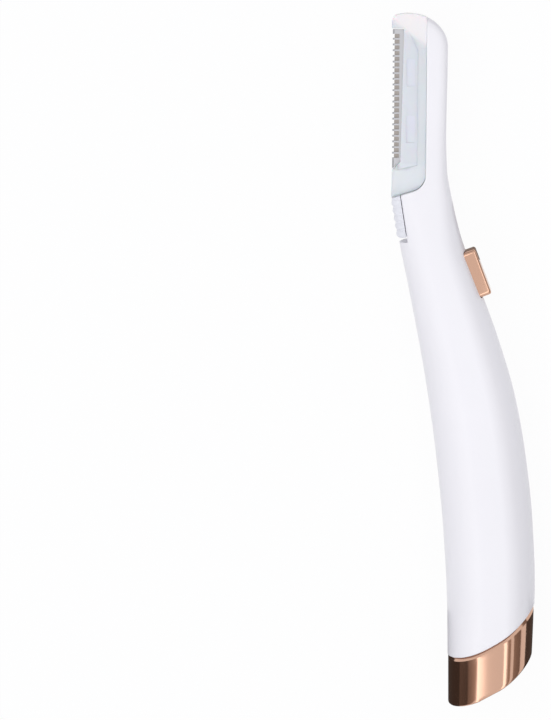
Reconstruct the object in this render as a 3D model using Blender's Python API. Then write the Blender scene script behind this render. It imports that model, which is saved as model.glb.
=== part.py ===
"""A lighted dermaplaning tool, modelled as it comes apart on a bench.

Two white moulded shells close round a battery tube, a driver board and a light that shines up
into the clear blade cartridge. A rose-gold cap closes the foot, a rose-gold button sits on the
back of the neck, and a ribbed tab on the front of the neck lets the cartridge go.

It lies on its side. X runs from the blade (-) to the button (+), Y from the foot to the crown,
and Z through its thickness. Inside the "tool" empty, Y starts at the foot and Z at the parting.
All sizes are in metres.
"""
import bpy
import bmesh
from math import acos, atan, atan2, cos, pi, radians, sin, tan
from mathutils import Vector

# Outer form
HANDLE_LENGTH = 0.1226        # from the foot's front corner to the front of the cartridge pocket
HEAD_LENGTH = 0.0430          # from there to the top of the crown
HALF_THICKNESS = 0.0110       # from the parting to either side, at the handle's thickest
THROAT_HALF_THICKNESS = 0.00656
NECK_HALF_THICKNESS = 0.0052  # the same at the pocket
SPINE_HALF_THICKNESS = 0.0027
SIDE_FLAT = 0.0044            # width of the flat strip that the tool lies on
HANDLE_ROUNDNESS = 2.1        # exponent of the handle's sections, 2 for an ellipse
SPINE_ROUNDNESS = 3.6
SPINE_START = 0.0120          # how far below the pocket the sections begin to square up
SPINE_FULL = 0.0080           # and how far above its corner they are square
WIDEST_SHARE = 0.52           # how far from front to back a section is thickest
CROWN_WIDTH = 0.0093
CROWN_HEIGHT = 0.0081

# Front and back of the handle, as (share of the handle's length, X)
HANDLE_FRONT = ((0.0, -0.00295), (0.18, -0.0032), (0.33, -0.0042), (0.49, -0.00615), (0.65, -0.0090),
                (0.815, -0.01285), (0.915, -0.0154), (1.0, -0.0172))
HANDLE_BACK = ((0.0, 0.0167), (0.10, 0.0174), (0.235, 0.01775), (0.365, 0.0170), (0.49, 0.01525),
               (0.61, 0.0125), (0.735, 0.00785), (0.855, 0.0023), (0.925, -0.00085), (1.0, -0.0031))
# Back of the spine, as (share of the head's length, X)
SPINE_BACK = ((0.15, -0.0042), (0.35, -0.00445), (0.70, -0.00425), (1.1, -0.0042))
# Thickness, as (share of the handle's length, share of its greatest half thickness)
HANDLE_SIDE = ((0.0, 0.96), (0.11, 1.0), (0.57, 1.0), (0.70, 0.925), (0.82, 0.76))
THROAT_PLACE = 0.92
# and as (share of the head's length, share of the spine's half thickness)
SPINE_SIDE = ((0.45, 1.08), (1.1, 1.0))

# Shells
WALL = 0.0016
PARTING_GAP = 0.00005         # from the mid-plane to each shell
FIT = 0.00015                 # round a piece that another one holds
SLIDE_FIT = 0.0002            # round a piece that moves in another one
PIN_RADIUS = 0.0008
PIN_BOSS_RADIUS = 0.0015
PIN_DEPTH = 0.0020
PIN_INSET = 0.0036            # from the front or the back to a pin beyond the tube's end
PIN_RISE = 0.0075             # from the tube's end to those pins
NECK_PIN_INSET = 0.0033
NECK_PIN_DROP = 0.0088        # from the pocket down to the neck's pin
SADDLE_THICKNESS = 0.0015
SADDLE_PLACES = (0.30, 0.88)  # shares of the cell's length
BOARD_RIB = 0.0013
BOARD_RIB_BEHIND = 0.0024     # how far a rib stands from each face of the board
BOARD_RIB_BEFORE = 0.0018
BOARD_RIB_PLACE = 0.0029      # from either end of the board
BOARD_EDGE = 0.0009           # how much of the board's edge each rib holds
PAST = 0.0010                 # how far a cutter runs past a face that it opens

# Foot and end cap
FOOT_RISE = 0.0130            # how much higher the back of the foot is than its front
FOOT_SAG = 0.0020             # how far the foot bows below that slope
CAP_HEIGHT = 0.0120
CAP_INSET = 0.00015
CAP_WALL = 0.0016
CAP_FLOOR = 0.0024
SEAM_GAP = 0.00015
SPIGOT_HEIGHT = 0.0050
SPIGOT_WALL = 0.0012
PEDESTAL_WALL = 0.0014

# Cell, tube and contacts: a round cell 10.5 mm across and 44.5 mm long
CELL_RADIUS = 0.00525
CELL_LENGTH = 0.0445
NUB_RADIUS = 0.0019
NUB_HEIGHT = 0.0010
CELL_CRIMP = 0.0005           # of the can's rounded ends
CELL_FOOT = (0.0071, 0.0170)  # X and Y of the middle of the cell's lower end
CELL_TILT = radians(3.3)
TUBE_WALL = 0.0008
TUBE_OVERHANG = 0.0020        # how far the tube reaches below the cell
TUBE_END = 0.0012
CONTACT_THICKNESS = 0.0003
CONTACT_WIDTH = 0.0060
SPRING_LENGTH = 0.0046
SPRING_WIRE = 0.00022         # radius
SPRING_FOOT_RADIUS = 0.0030
SPRING_TIP_RADIUS = 0.0020
SPRING_TURNS = 5
TAIL_HALF_WIDTH = 0.0008      # of the positive contact's solder tail
TAIL_LENGTH = 0.0012          # how far the tail and the negative strip pass the tube's end

# Button, switch and board, measured along the button's own line, which leans as the back does
BUTTON_PLACE = 0.852          # share of the handle's length
BUTTON_LENGTH = 0.0114
BUTTON_WIDTH = 0.0070
BUTTON_CORNER = 0.0010
BUTTON_RIM = 0.0006
BUTTON_PROUD = 0.0023
BUTTON_TRAVEL = 0.0006
BUTTON_LIP = 0.0008
BUTTON_LIP_THICKNESS = 0.0010
COLLAR_DEPTH = 0.0023         # thickness of the wall round the button
COLLAR_MARGIN = 0.0025        # how far that wall reaches past the button's ends
SWITCH_WIDTH = 0.0044
SWITCH_HEIGHT = 0.0019
PLUNGER_RADIUS = 0.0009
PLUNGER_SEAT = 0.0009         # how deep the plunger stands in the switch
PLUNGER_FIT = 0.00005
STROKE_ROOM = 0.0002          # left below the plunger at the end of its travel
BOARD_THICKNESS = 0.0010
BOARD_WIDTH = 0.0090
BOARD_ABOVE = 0.0060          # how far the board reaches towards the head from the switch
BOARD_BELOW = 0.0235
SOLDER_GAP = 0.0001           # between the board and what is soldered to it
INDUCTOR_RADIUS = 0.0024
INDUCTOR_HEIGHT = 0.0025
INDUCTOR_PLACE = 0.0125       # from the board's lower end
CHIP_LENGTH = 0.0029
CHIP_WIDTH = 0.0030
CHIP_HEIGHT = 0.0010
CHIP_PLACE = 0.0060

# Blade cartridge
CARTRIDGE_FRONT = -0.0173
CARTRIDGE_BACK = -0.0093
CARTRIDGE_HALF_THICKNESS = 0.0023
CARTRIDGE_GAP = 0.00015
FLOOR_SLOPE = radians(18.0)
FLOOR_CORNER = 0.0040
CHIN_HEIGHT = 0.0063          # solid end below the blade, at the front
BROW_HEIGHT = 0.0035          # solid end above the blade
FRONT_CORNER = 0.0014
PANEL_DEPTH = 0.0006
PANEL_WIDTH = 0.0036
WINDOW_DEPTH = 0.0003
WINDOW_WIDTH = 0.0021
WINDOW_LENGTH = 0.0063
WINDOW_PLACES = (0.0065, 0.0197)  # from the blade's foot
PEG_LENGTH = 0.0040
PEG_WIDTH = 0.0024
PEG_REACH = 0.0018
PEG_PLACES = (0.0145, 0.0315)     # from the pocket's front
PEG_END_ROOM = 0.0003
STEEL_SHOWING = 0.0024        # width of the steel in front of the plastic
CHIN_LEAN = 0.0004            # how far the chin leans to the front, and over what height
CHIN_RISE = 0.0020
PANEL_LEAP = 0.0010           # how far the panel's cutter runs past the plastic's front edge
PANEL_BROW_WIDTH = 0.0012
PANEL_SLANT = 0.0047          # height of the panel's slanting upper end
PANEL_CHIN_RISE = 0.0010
WINDOW_INSET = 0.0006         # from the plastic's front edge

# Blade and guard comb
BLADE_HALF_THICKNESS = 0.00012
BLADE_BEVEL = 0.0008
BLADE_SHELTER = 0.0003        # from the cutting edge to the inside of the comb's nose
COMB_SHEET = 0.00025
COMB_HALF_THICKNESS = 0.00052
COMB_FRONT = -0.01715
COMB_DEPTH = 0.0038
COMB_PITCH = 0.001336
COMB_TOOTH = 0.0004
COMB_SLOT_DEPTH = 0.0016
COMB_ENDS = 0.0006            # plain sheet beyond the last teeth
CLIP_WIDTH = 0.0020           # of the corner clipped off the steel's foot
CLIP_HEIGHT = 0.0016

# Release tab, measured along its own bed
TAB_DROP = 0.0044             # from the pocket down to the middle of the tab's bed
TAB_SEAT = 0.00226            # from the neck's front back to that bed
TAB_TILT = radians(9.0)
TAB_BELOW = 0.0049
TAB_ABOVE = 0.0044
TAB_DEPTH = 0.0021
TAB_TRAVEL = 0.0009
TAB_PROUD = 0.00015
TAB_RIBS = 5
TAB_RIB_HEIGHT = 0.00035
TAB_FOOT_LEAN = 0.0004
TAB_ROOM = 0.0003             # left below the tab at the end of its travel
# One rib of the tab, as (share of its pitch, share of its height)
TAB_RIB_CURVE = ((0.08, 0.0), (0.3, 0.8), (0.5, 1.0), (0.7, 0.8), (0.92, 0.0))
KEY_WIDTH = 0.0016
KEY_LENGTH = 0.0016
KEY_NECK = 0.0007
KEY_HEAD = 0.0006
KEY_LIP = 0.0006
RETURN_RADIUS = 0.00055
RETURN_WIRE = 0.00013
RETURN_TURNS = 7
RETURN_LENGTH = 0.0040

# Light
PIPE_PLACE = -0.0123          # X where the light pipe meets the pocket's floor
PIPE_RADIUS = 0.00125
PIPE_LENGTH = 0.0060
LED_RADIUS = 0.0015
LED_FLANGE_RADIUS = 0.0019
LED_FLANGE_HEIGHT = 0.0010
LED_LENGTH = 0.0053
NECK_BED = 0.0042             # thickness of the neck's front, which carries the tab and its spring
NECK_BLOCK = 0.0061           # solid length of the neck below the pocket
BED_START = 0.0130            # how far below that block the front begins to thicken
BED_FULL = 0.0050             # and how far below it is fully thick

# Leads
LEAD_RADIUS = 0.00045
LEAD_OVERLAP = 0.0045         # length of a lead that lies along the board's back
LEAD_SPREAD = 0.0020          # from the middle to each lead on the board
LEAD_BEND = 0.0040            # length over which a lead turns away from what it leaves

# Cutters, and the fineness of the mesh
REACH = 0.06                  # half the size of a cutter that runs right through the tool
HAIR = 0.000001               # what keeps the two rings of one step apart
ARC_STEPS = 7
ROUND_STEPS = 20
SMALL_STEPS = 12
HANDLE_STATIONS = 24
HEAD_STATIONS = 7


def clear_scene():
    for thing in list(bpy.data.objects):
        bpy.data.objects.remove(thing, do_unlink=True)


def smooth(points):
    """A curve through (place, value) points, level wherever its run turns back."""
    places = [p for p, _ in points]
    values = [v for _, v in points]
    rises = [(values[i + 1] - values[i]) / (places[i + 1] - places[i]) for i in range(len(points) - 1)]
    slopes = [rises[0]]
    for before, after in zip(rises, rises[1:]):
        slopes.append(2 * before * after / (before + after) if before * after > 0 else 0.0)
    slopes.append(rises[-1])

    def curve(place):
        i = 0
        while i < len(points) - 2 and place > places[i + 1]:
            i += 1
        span = places[i + 1] - places[i]
        t = min(max((place - places[i]) / span, 0.0), 1.0)
        return ((1 + 2 * t) * (1 - t) ** 2 * values[i] + t * (1 - t) ** 2 * span * slopes[i]
                + t * t * (3 - 2 * t) * values[i + 1] + t * t * (t - 1) * span * slopes[i + 1])
    return curve


def ease(place, start, end):
    """From 0 at start to 1 at end, level at both."""
    t = min(max((place - start) / (end - start), 0.0), 1.0)
    return t * t * (3 - 2 * t)


LENGTH = HANDLE_LENGTH + HEAD_LENGTH
front_of = smooth([(share * HANDLE_LENGTH, x) for share, x in HANDLE_FRONT])
back_of = smooth([(share * HANDLE_LENGTH, x) for share, x in HANDLE_BACK]
                 + [(HANDLE_LENGTH + share * HEAD_LENGTH, x) for share, x in SPINE_BACK])
handle_side = [(share * HANDLE_LENGTH, part * HALF_THICKNESS) for share, part in HANDLE_SIDE]
neck_side = [(THROAT_PLACE * HANDLE_LENGTH, THROAT_HALF_THICKNESS), (HANDLE_LENGTH, NECK_HALF_THICKNESS)]
spine_side = [(HANDLE_LENGTH + share * HEAD_LENGTH, part * SPINE_HALF_THICKNESS) for share, part in SPINE_SIDE]
half_of = smooth(handle_side + neck_side + spine_side)
BACK_MOST = max(x for _, x in HANDLE_BACK)
MIDDLE = (BACK_MOST + CARTRIDGE_FRONT) / 2


def section_point(y, angle, inset, front_inset):
    """A point of the outer form's section at y, drawn in by the insets; angle 0 is the back."""
    front = front_of(y)
    back = back_of(y)
    half = half_of(y) - inset
    centre = front + WIDEST_SHARE * (back - front)
    flat = SIDE_FLAT / 2 * half_of(y) / HALF_THICKNESS
    grow = ease(y, HANDLE_LENGTH - SPINE_START, HANDLE_LENGTH + SPINE_FULL)
    power = 2 / (HANDLE_ROUNDNESS + grow * (SPINE_ROUNDNESS - HANDLE_ROUNDNESS))
    across = abs(cos(angle)) ** power
    up = half * abs(sin(angle)) ** power
    if cos(angle) > 0:
        return centre + flat + (back - inset - centre - flat) * across, up
    return centre - flat - (centre - flat - front - front_inset) * across, up


def half_ring(y, side, inset=0.0, front_inset=None, base=0.0):
    """Half a section, from the back over one side to the front, standing on the parting."""
    front_inset = inset if front_inset is None else front_inset
    angles = [pi / 2 * step / ARC_STEPS for step in range(ARC_STEPS + 1)]
    angles[-1] -= HAIR
    ring = []
    for angle in angles + [pi - a for a in reversed(angles)]:
        x, up = section_point(y, angle, inset, front_inset)
        lift = base + up * (half_of(y) - inset - base) / (half_of(y) - inset)
        ring.append((x, y, side * lift))
    return ring


def full_ring(y, inset=0.0, front_inset=None):
    upper = half_ring(y, 1, inset, front_inset)
    lower = half_ring(y, -1, inset, front_inset)
    return upper + lower[-2:0:-1]


def material(name, colour, roughness, metallic=0.0):
    """A Principled material; colour is linear red, green and blue."""
    found = bpy.data.materials.get(name) or bpy.data.materials.new(name)
    found.use_nodes = True
    shader = found.node_tree.nodes["Principled BSDF"]
    shader.inputs["Base Color"].default_value = (*colour, 1.0)
    shader.inputs["Roughness"].default_value = roughness
    shader.inputs["Metallic"].default_value = metallic
    found.diffuse_color = (*colour, 1.0)
    return found


clear_scene()


def empty(name, x, y, z=0.0, turn=0.0, parent=None):
    """A bare axis that pieces are built on, turned about Z."""
    axis = bpy.data.objects.new(name, None)
    bpy.context.collection.objects.link(axis)
    axis.location = (x, y, z)
    axis.rotation_euler = (0.0, 0.0, turn)
    axis.parent = parent
    return axis


TOOL = empty("tool", -MIDDLE, -LENGTH / 2, HALF_THICKNESS)


def on_frame(frame, x, y):
    """X and Y in the tool of a point given on one of its tilted frames."""
    place, turn = frame
    return (place[0] + x * cos(turn) - y * sin(turn), place[1] + x * sin(turn) + y * cos(turn))


BATTERY = (CELL_FOOT, CELL_TILT)
button_y = BUTTON_PLACE * HANDLE_LENGTH
button_fall = back_of(button_y - BUTTON_LENGTH / 2) - back_of(button_y + BUTTON_LENGTH / 2)
BUTTON = ((back_of(button_y), button_y), atan(button_fall / BUTTON_LENGTH))
tab_y = HANDLE_LENGTH - TAB_DROP
TAB = ((front_of(tab_y) + TAB_SEAT, tab_y), TAB_TILT)
CAVITY_TOP = HANDLE_LENGTH - NECK_BLOCK


def floor_height(x):
    """Y of the cartridge's sloping underside."""
    return HANDLE_LENGTH + (x - CARTRIDGE_FRONT) * tan(FLOOR_SLOPE)


LIGHT = ((PIPE_PLACE, floor_height(PIPE_PLACE)), FLOOR_SLOPE)
battery_axis = empty("battery_axis", *BATTERY[0], turn=BATTERY[1], parent=TOOL)
button_axis = empty("button_axis", *BUTTON[0], turn=BUTTON[1], parent=TOOL)
tab_axis = empty("tab_axis", *TAB[0], turn=TAB[1], parent=TOOL)
light_axis = empty("light_axis", *LIGHT[0], turn=LIGHT[1], parent=TOOL)


def skin(name, rings, parent=None, closed=False, finish=None):
    """A solid through rings of points, capped at its two ends or closed on itself."""
    count = len(rings[0])
    points = [point for ring in rings for point in ring]
    faces = []
    for i in range(len(rings) if closed else len(rings) - 1):
        low = i * count
        high = (i + 1) % len(rings) * count
        for j in range(count):
            k = (j + 1) % count
            faces.append((low + j, low + k, high + k, high + j))
    if not closed:
        faces.append(tuple(reversed(range(count))))
        faces.append(tuple(range(len(points) - count, len(points))))
    mesh = bpy.data.meshes.new(name)
    mesh.from_pydata(points, [], faces)
    shape = bmesh.new()
    shape.from_mesh(mesh)
    bmesh.ops.recalc_face_normals(shape, faces=shape.faces)
    shape.to_mesh(mesh)
    shape.free()
    piece = bpy.data.objects.new(name, mesh)
    bpy.context.collection.objects.link(piece)
    piece.parent = parent or TOOL
    if finish:
        mesh.materials.append(finish)
        mesh.shade_smooth()
        mesh.set_sharp_from_angle(angle=radians(32))
    return piece


def prism(name, outline, low, high, parent=None, finish=None):
    """An outline of (x, y) points, extruded along Z."""
    return skin(name, [[(x, y, z) for x, y in outline] for z in (low, high)], parent, finish=finish)


def box(name, x, y, z, parent=None, finish=None):
    """A block between the two values of each of x, y and z."""
    return prism(name, ((x[0], y[0]), (x[1], y[0]), (x[1], y[1]), (x[0], y[1])), *z, parent, finish)


def turned(name, profile, parent, steps=ROUND_STEPS, finish=None):
    """A solid turned about the parent's Y axis through (radius, height) points, flat at both ends."""
    rings = []
    for radius, height in profile:
        rings.append([(radius * cos(2 * pi * i / steps), height, radius * sin(2 * pi * i / steps))
                      for i in range(steps)])
    return skin(name, rings, parent, finish=finish)


def turned_ring(name, profile, parent, steps=ROUND_STEPS, finish=None):
    """A closed (radius, height) profile turned about the parent's Y axis."""
    rings = []
    for i in range(steps):
        angle = 2 * pi * i / steps
        rings.append([(r * cos(angle), h, r * sin(angle)) for r, h in profile])
    return skin(name, rings, parent, closed=True, finish=finish)


def rod(name, x, y, z, radius, parent=None, steps=SMALL_STEPS, finish=None):
    """A round bar along Z between the two values of z."""
    outline = [(x + radius * cos(2 * pi * i / steps), y + radius * sin(2 * pi * i / steps))
               for i in range(steps)]
    return prism(name, outline, *z, parent, finish)


def rounded_rectangle(length, width, radius, steps=3):
    """(along, across) points of a rectangle with round corners."""
    points = []
    for corner, (u, v) in enumerate(((1, 1), (-1, 1), (-1, -1), (1, -1))):
        for step in range(steps + 1):
            angle = (corner + step / steps) * pi / 2
            points.append((u * (length / 2 - radius) + radius * cos(angle),
                           v * (width / 2 - radius) + radius * sin(angle)))
    return points


def stack(name, layers, parent, finish=None):
    """A solid through rounded rectangles, each (x, length, width, corner radius)."""
    rings = []
    for x, length, width, radius in layers:
        rings.append([(x, y, z) for y, z in rounded_rectangle(length, width, radius)])
    return skin(name, rings, parent, finish=finish)


def coil(name, radii, heights, wire, turns, parent, centre=0.0, finish=None):
    """An open coil about the parent's Y axis, between two radii and two heights."""
    count = 10 * turns + 1
    rings = []
    for i in range(count):
        t = i / (count - 1)
        angle = 2 * pi * turns * t
        radius = radii[0] + t * (radii[1] - radii[0])
        height = heights[0] + t * (heights[1] - heights[0])
        along = Vector((-radius * sin(angle) * 2 * pi * turns, heights[1] - heights[0],
                        radius * cos(angle) * 2 * pi * turns)).normalized()
        out = Vector((cos(angle), 0.0, sin(angle)))
        over = along.cross(out)
        middle = Vector((centre, height, 0.0)) + radius * out
        rings.append([middle + wire * (cos(pi * k / 3) * out + sin(pi * k / 3) * over) for k in range(6)])
    return skin(name, rings, parent, finish=finish)


def lead(name, route, radius, finish):
    """A wire on a smooth curve through its route's points."""
    places = [0.0]
    for a, b in zip(route, route[1:]):
        places.append(places[-1] + (Vector(b) - Vector(a)).length)
    along = [smooth(list(zip(places, [point[axis] for point in route]))) for axis in range(3)]
    count = max(8, round(places[-1] / (3 * radius)))
    curve = bpy.data.curves.new(name, "CURVE")
    curve.dimensions = "3D"
    curve.bevel_depth = radius
    curve.bevel_resolution = 1
    curve.use_fill_caps = True
    spline = curve.splines.new("POLY")
    spline.points.add(count - 1)
    for i, point in enumerate(spline.points):
        place = places[-1] * i / (count - 1)
        point.co = (along[0](place), along[1](place), along[2](place), 1.0)
    curve.materials.append(finish)
    piece = bpy.data.objects.new(name, curve)
    bpy.context.collection.objects.link(piece)
    piece.parent = TOOL
    return piece


def shape_by(piece, cutter, operation="DIFFERENCE"):
    """Cut a piece by another one, or join or keep what they share; the other one becomes a guide."""
    change = piece.modifiers.new(cutter.name, "BOOLEAN")
    change.operation = operation
    change.solver = "EXACT"
    change.object = cutter
    cutter.hide_render = True
    cutter.display_type = "WIRE"
    return piece


white = material("white_abs", (0.86, 0.86, 0.91), 0.32)
tab_white = material("tab_abs", (0.80, 0.80, 0.85), 0.38)
rose_gold = material("rose_gold_plating", (0.66, 0.37, 0.26), 0.16, 1.0)
clear_ice = material("clear_polycarbonate", (0.68, 0.74, 0.80), 0.25)
steel = material("stainless_steel", (0.56, 0.57, 0.58), 0.28, 1.0)
nickel = material("nickel_strip", (0.62, 0.60, 0.56), 0.3, 1.0)
natural_nylon = material("natural_nylon", (0.78, 0.77, 0.72), 0.55)
cell_sleeve = material("cell_sleeve", (0.10, 0.11, 0.12), 0.35)
board_green = material("board_laminate", (0.02, 0.16, 0.07), 0.5)
chip_black = material("moulded_epoxy", (0.02, 0.02, 0.022), 0.45)
ferrite = material("ferrite", (0.06, 0.06, 0.065), 0.6)
lens = material("clear_epoxy", (0.85, 0.88, 0.92), 0.1)
red_lead = material("red_insulation", (0.5, 0.02, 0.02), 0.5)
black_lead = material("black_insulation", (0.02, 0.02, 0.02), 0.5)


# The foot's bowed slope, which shapes the cap's underside, its seam and its floor
def foot_arc(lift, steps=10):
    """(x, y) points of the foot's curve from front to back, run out straight at both ends."""
    start = Vector((front_of(0.0), 0.0))
    end = Vector((BACK_MOST, FOOT_RISE))
    chord = end - start
    radius = chord.length ** 2 / (8 * FOOT_SAG) + FOOT_SAG / 2
    normal = Vector((-chord.y, chord.x)).normalized()
    centre = (start + end) / 2 + normal * (radius - FOOT_SAG)
    first = atan2(start.y - centre.y, start.x - centre.x)
    last = atan2(end.y - centre.y, end.x - centre.x)
    points = [centre + radius * Vector((cos(first + (last - first) * i / steps),
                                        sin(first + (last - first) * i / steps)))
              for i in range(steps + 1)]
    before = points[0] + 2 * (points[0] - points[1])
    after = points[-1] + 2 * (points[-1] - points[-2])
    return [(p.x, p.y + lift) for p in [before, *points, after]]


def below_foot(name, lift):
    arc = foot_arc(lift)
    return prism(name, arc + [(arc[-1][0], -REACH), (arc[0][0], -REACH)], -REACH, REACH)


def above_foot(name, lift):
    arc = foot_arc(lift)
    return prism(name, arc + [(arc[-1][0], REACH), (arc[0][0], REACH)], -REACH, REACH)


def stations(low, high, steps):
    return [low + (high - low) * i / steps for i in range(steps + 1)]


def inner_form(name, low, high, steps, inset):
    """The outer form drawn in, for what fills or hollows the shells."""
    return skin(name, [full_ring(y, inset) for y in stations(low, high, steps)])


TUBE_RADIUS = CELL_RADIUS + FIT + TUBE_WALL
TUBE_TOP = CELL_LENGTH + CONTACT_THICKNESS + 3 * FIT + TUBE_END
STRIP_FACE = -TUBE_RADIUS - FIT       # the side of the negative strip that lies along the tube
STRIP_TOP = TUBE_TOP + TAIL_LENGTH
BUTTON_REST = -COLLAR_DEPTH - SLIDE_FIT / 2                  # top of the button's lip
BUTTON_UNDERSIDE = BUTTON_REST - BUTTON_LIP_THICKNESS
PLUNGER_TOP = BUTTON_UNDERSIDE - SOLDER_GAP
SWITCH_TOP = PLUNGER_TOP - BUTTON_TRAVEL - STROKE_ROOM
SWITCH_BASE = SWITCH_TOP - SWITCH_HEIGHT
BOARD_TOP = SWITCH_BASE - SOLDER_GAP
BOARD_BASE = BOARD_TOP - BOARD_THICKNESS


# The cartridge's side view, shared by the cartridge and the pocket that holds it
def cartridge_base(gap=0.0, steps=5):
    """(x, y) points of its underside and corner, from the front to its straight back."""
    centre_x = CARTRIDGE_BACK - FLOOR_CORNER
    tangent_x = centre_x + FLOOR_CORNER * sin(FLOOR_SLOPE)
    centre_y = floor_height(tangent_x) + FLOOR_CORNER * cos(FLOOR_SLOPE)
    points = [(CARTRIDGE_FRONT, HANDLE_LENGTH)]
    for i in range(steps + 1):
        angle = (FLOOR_SLOPE - pi / 2) * (1 - i / steps)
        points.append((centre_x + FLOOR_CORNER * cos(angle), centre_y + FLOOR_CORNER * sin(angle)))
    return [(x + gap, y - gap) for x, y in points]


def crown(x_low, x_high, steps):
    """(x, y) points along the crown's quarter ellipse, from back to front."""
    top_x = back_of(LENGTH) - CROWN_WIDTH
    points = []
    first = acos((x_high - top_x) / CROWN_WIDTH)
    last = acos((x_low - top_x) / CROWN_WIDTH)
    for i in range(steps + 1):
        angle = first + (last - first) * i / steps
        points.append((top_x + CROWN_WIDTH * cos(angle), LENGTH - CROWN_HEIGHT * (1 - sin(angle))))
    return points


# The hollow of the two shells: open at the foot, ending below the light
def neck_inset(y):
    return WALL + (NECK_BED - WALL) * ease(y, CAVITY_TOP - BED_START, CAVITY_TOP - BED_FULL)


hollow = skin("hollow_cut", [full_ring(y, WALL, neck_inset(y)) for y in stations(-4 * PAST, CAVITY_TOP, 20)])

for number, share in enumerate(SADDLE_PLACES):
    low = share * CELL_LENGTH
    high = low + SADDLE_THICKNESS
    saddle = box(f"saddle_{number}_cut", (-REACH, REACH), (low, high), (-REACH, REACH), battery_axis)
    shape_by(saddle, turned(f"saddle_{number}_bore", ((TUBE_RADIUS + FIT, low - PAST),
                                                     (TUBE_RADIUS + FIT, high + PAST)), battery_axis))
    shape_by(saddle, box(f"saddle_{number}_notch",
                         (STRIP_FACE - CONTACT_THICKNESS - FIT, 0.0), (low - PAST, high + PAST),
                         (-CONTACT_WIDTH / 4 - FIT, CONTACT_WIDTH / 4 + FIT), battery_axis))
    shape_by(hollow, saddle)

for number, height in enumerate((BOARD_RIB_PLACE - BOARD_BELOW, BOARD_ABOVE - BOARD_RIB_PLACE)):
    low = height - BOARD_RIB / 2
    high = height + BOARD_RIB / 2
    through = (low - PAST, high + PAST)
    rib = box(f"board_rib_{number}_cut", (BOARD_BASE - BOARD_RIB_BEHIND, BOARD_TOP + BOARD_RIB_BEFORE),
              (low, high), (-REACH, REACH), button_axis)
    shape_by(rib, box(f"board_rib_{number}_window", (-REACH, 0.0), through,
                      (BOARD_EDGE - BOARD_WIDTH / 2, BOARD_WIDTH / 2 - BOARD_EDGE), button_axis))
    shape_by(rib, box(f"board_rib_{number}_slot", (BOARD_BASE - FIT, BOARD_TOP + FIT), through,
                      (-BOARD_WIDTH / 2 - FIT, BOARD_WIDTH / 2 + FIT), button_axis))
    shape_by(hollow, rib)

collar_plan = (BUTTON_LENGTH + 2 * COLLAR_MARGIN, BUTTON_WIDTH + 1.6 * COLLAR_MARGIN, 2 * BUTTON_CORNER)
shape_by(hollow, stack("collar_cut", [(-COLLAR_DEPTH, *collar_plan), (10 * PAST, *collar_plan)], button_axis))

tube_end = CELL_FOOT[1] + TUBE_TOP * cos(CELL_TILT)
pin_y = tube_end + PIN_RISE
neck_pin_y = HANDLE_LENGTH - NECK_PIN_DROP
PINS = ((front_of(pin_y) + PIN_INSET, pin_y), (back_of(pin_y) - PIN_INSET, pin_y),
        (back_of(neck_pin_y) - NECK_PIN_INSET, neck_pin_y))
for number, (x, y) in enumerate(PINS):
    shape_by(hollow, rod(f"pin_boss_{number}_cut", x, y, (-REACH, REACH), PIN_BOSS_RADIUS))

# What is cut from both shells
shell_cuts = [hollow, below_foot("seam_cut", CAP_HEIGHT + SEAM_GAP)]

above_crown = crown(back_of(LENGTH) - CROWN_WIDTH, back_of(LENGTH), 9)
shell_cuts.append(prism("crown_cut", [(REACH, above_crown[0][1]), *above_crown,
                                      (-REACH, LENGTH), (-REACH, LENGTH + REACH), (REACH, LENGTH + REACH)],
                        -REACH, REACH))

pocket_outline = [(-REACH, floor_height(-REACH) - CARTRIDGE_GAP), *cartridge_base(CARTRIDGE_GAP),
                  (CARTRIDGE_BACK + CARTRIDGE_GAP, LENGTH + REACH), (-REACH, LENGTH + REACH)]
shell_cuts.append(prism("pocket_cut", pocket_outline, -REACH, REACH))

for number, place in enumerate(PEG_PLACES):
    y = HANDLE_LENGTH + place
    reach = PEG_LENGTH / 2 + SLIDE_FIT
    socket_end = CARTRIDGE_BACK + PEG_REACH + PEG_END_ROOM
    shell_cuts.append(box(f"socket_{number}_cut", (CARTRIDGE_BACK - PAST, socket_end), (y - reach, y + reach),
                          (-PEG_WIDTH / 2 - SLIDE_FIT, PEG_WIDTH / 2 + SLIDE_FIT)))

shell_cuts.append(box("tab_bed_cut", (-REACH, 0.0), (-TAB_BELOW - TAB_TRAVEL - TAB_ROOM, TAB_DROP + 8 * PAST),
                      (-REACH, REACH), tab_axis))
GROOVE_TOP = KEY_LENGTH + SLIDE_FIT
GROOVE_FOOT = -RETURN_LENGTH - 4 * FIT
shell_cuts.append(box("key_neck_cut", (-PAST, KEY_NECK + SLIDE_FIT / 2), (GROOVE_FOOT, GROOVE_TOP),
                      (-KEY_WIDTH / 2 - SLIDE_FIT, KEY_WIDTH / 2 + SLIDE_FIT), tab_axis))
shell_cuts.append(box("key_head_cut", (KEY_NECK, KEY_NECK + KEY_HEAD + 2 * SLIDE_FIT),
                      (GROOVE_FOOT - FIT, GROOVE_TOP + FIT),
                      (-KEY_WIDTH / 2 - KEY_LIP - SLIDE_FIT, KEY_WIDTH / 2 + KEY_LIP + SLIDE_FIT), tab_axis))

hole = (BUTTON_LENGTH + 2 * SLIDE_FIT, BUTTON_WIDTH + 2 * SLIDE_FIT, BUTTON_CORNER + SLIDE_FIT)
shell_cuts.append(stack("button_hole_cut", [(-6 * PAST, *hole), (6 * PAST, *hole)], button_axis))
seat = (BUTTON_LENGTH + 2 * BUTTON_LIP + 4 * SLIDE_FIT, BUTTON_WIDTH + 2 * BUTTON_LIP + 4 * SLIDE_FIT,
        BUTTON_CORNER + BUTTON_LIP)
shell_cuts.append(stack("button_seat_cut", [(BUTTON_UNDERSIDE - 2 * PAST, *seat), (-COLLAR_DEPTH, *seat)],
                        button_axis))

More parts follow.
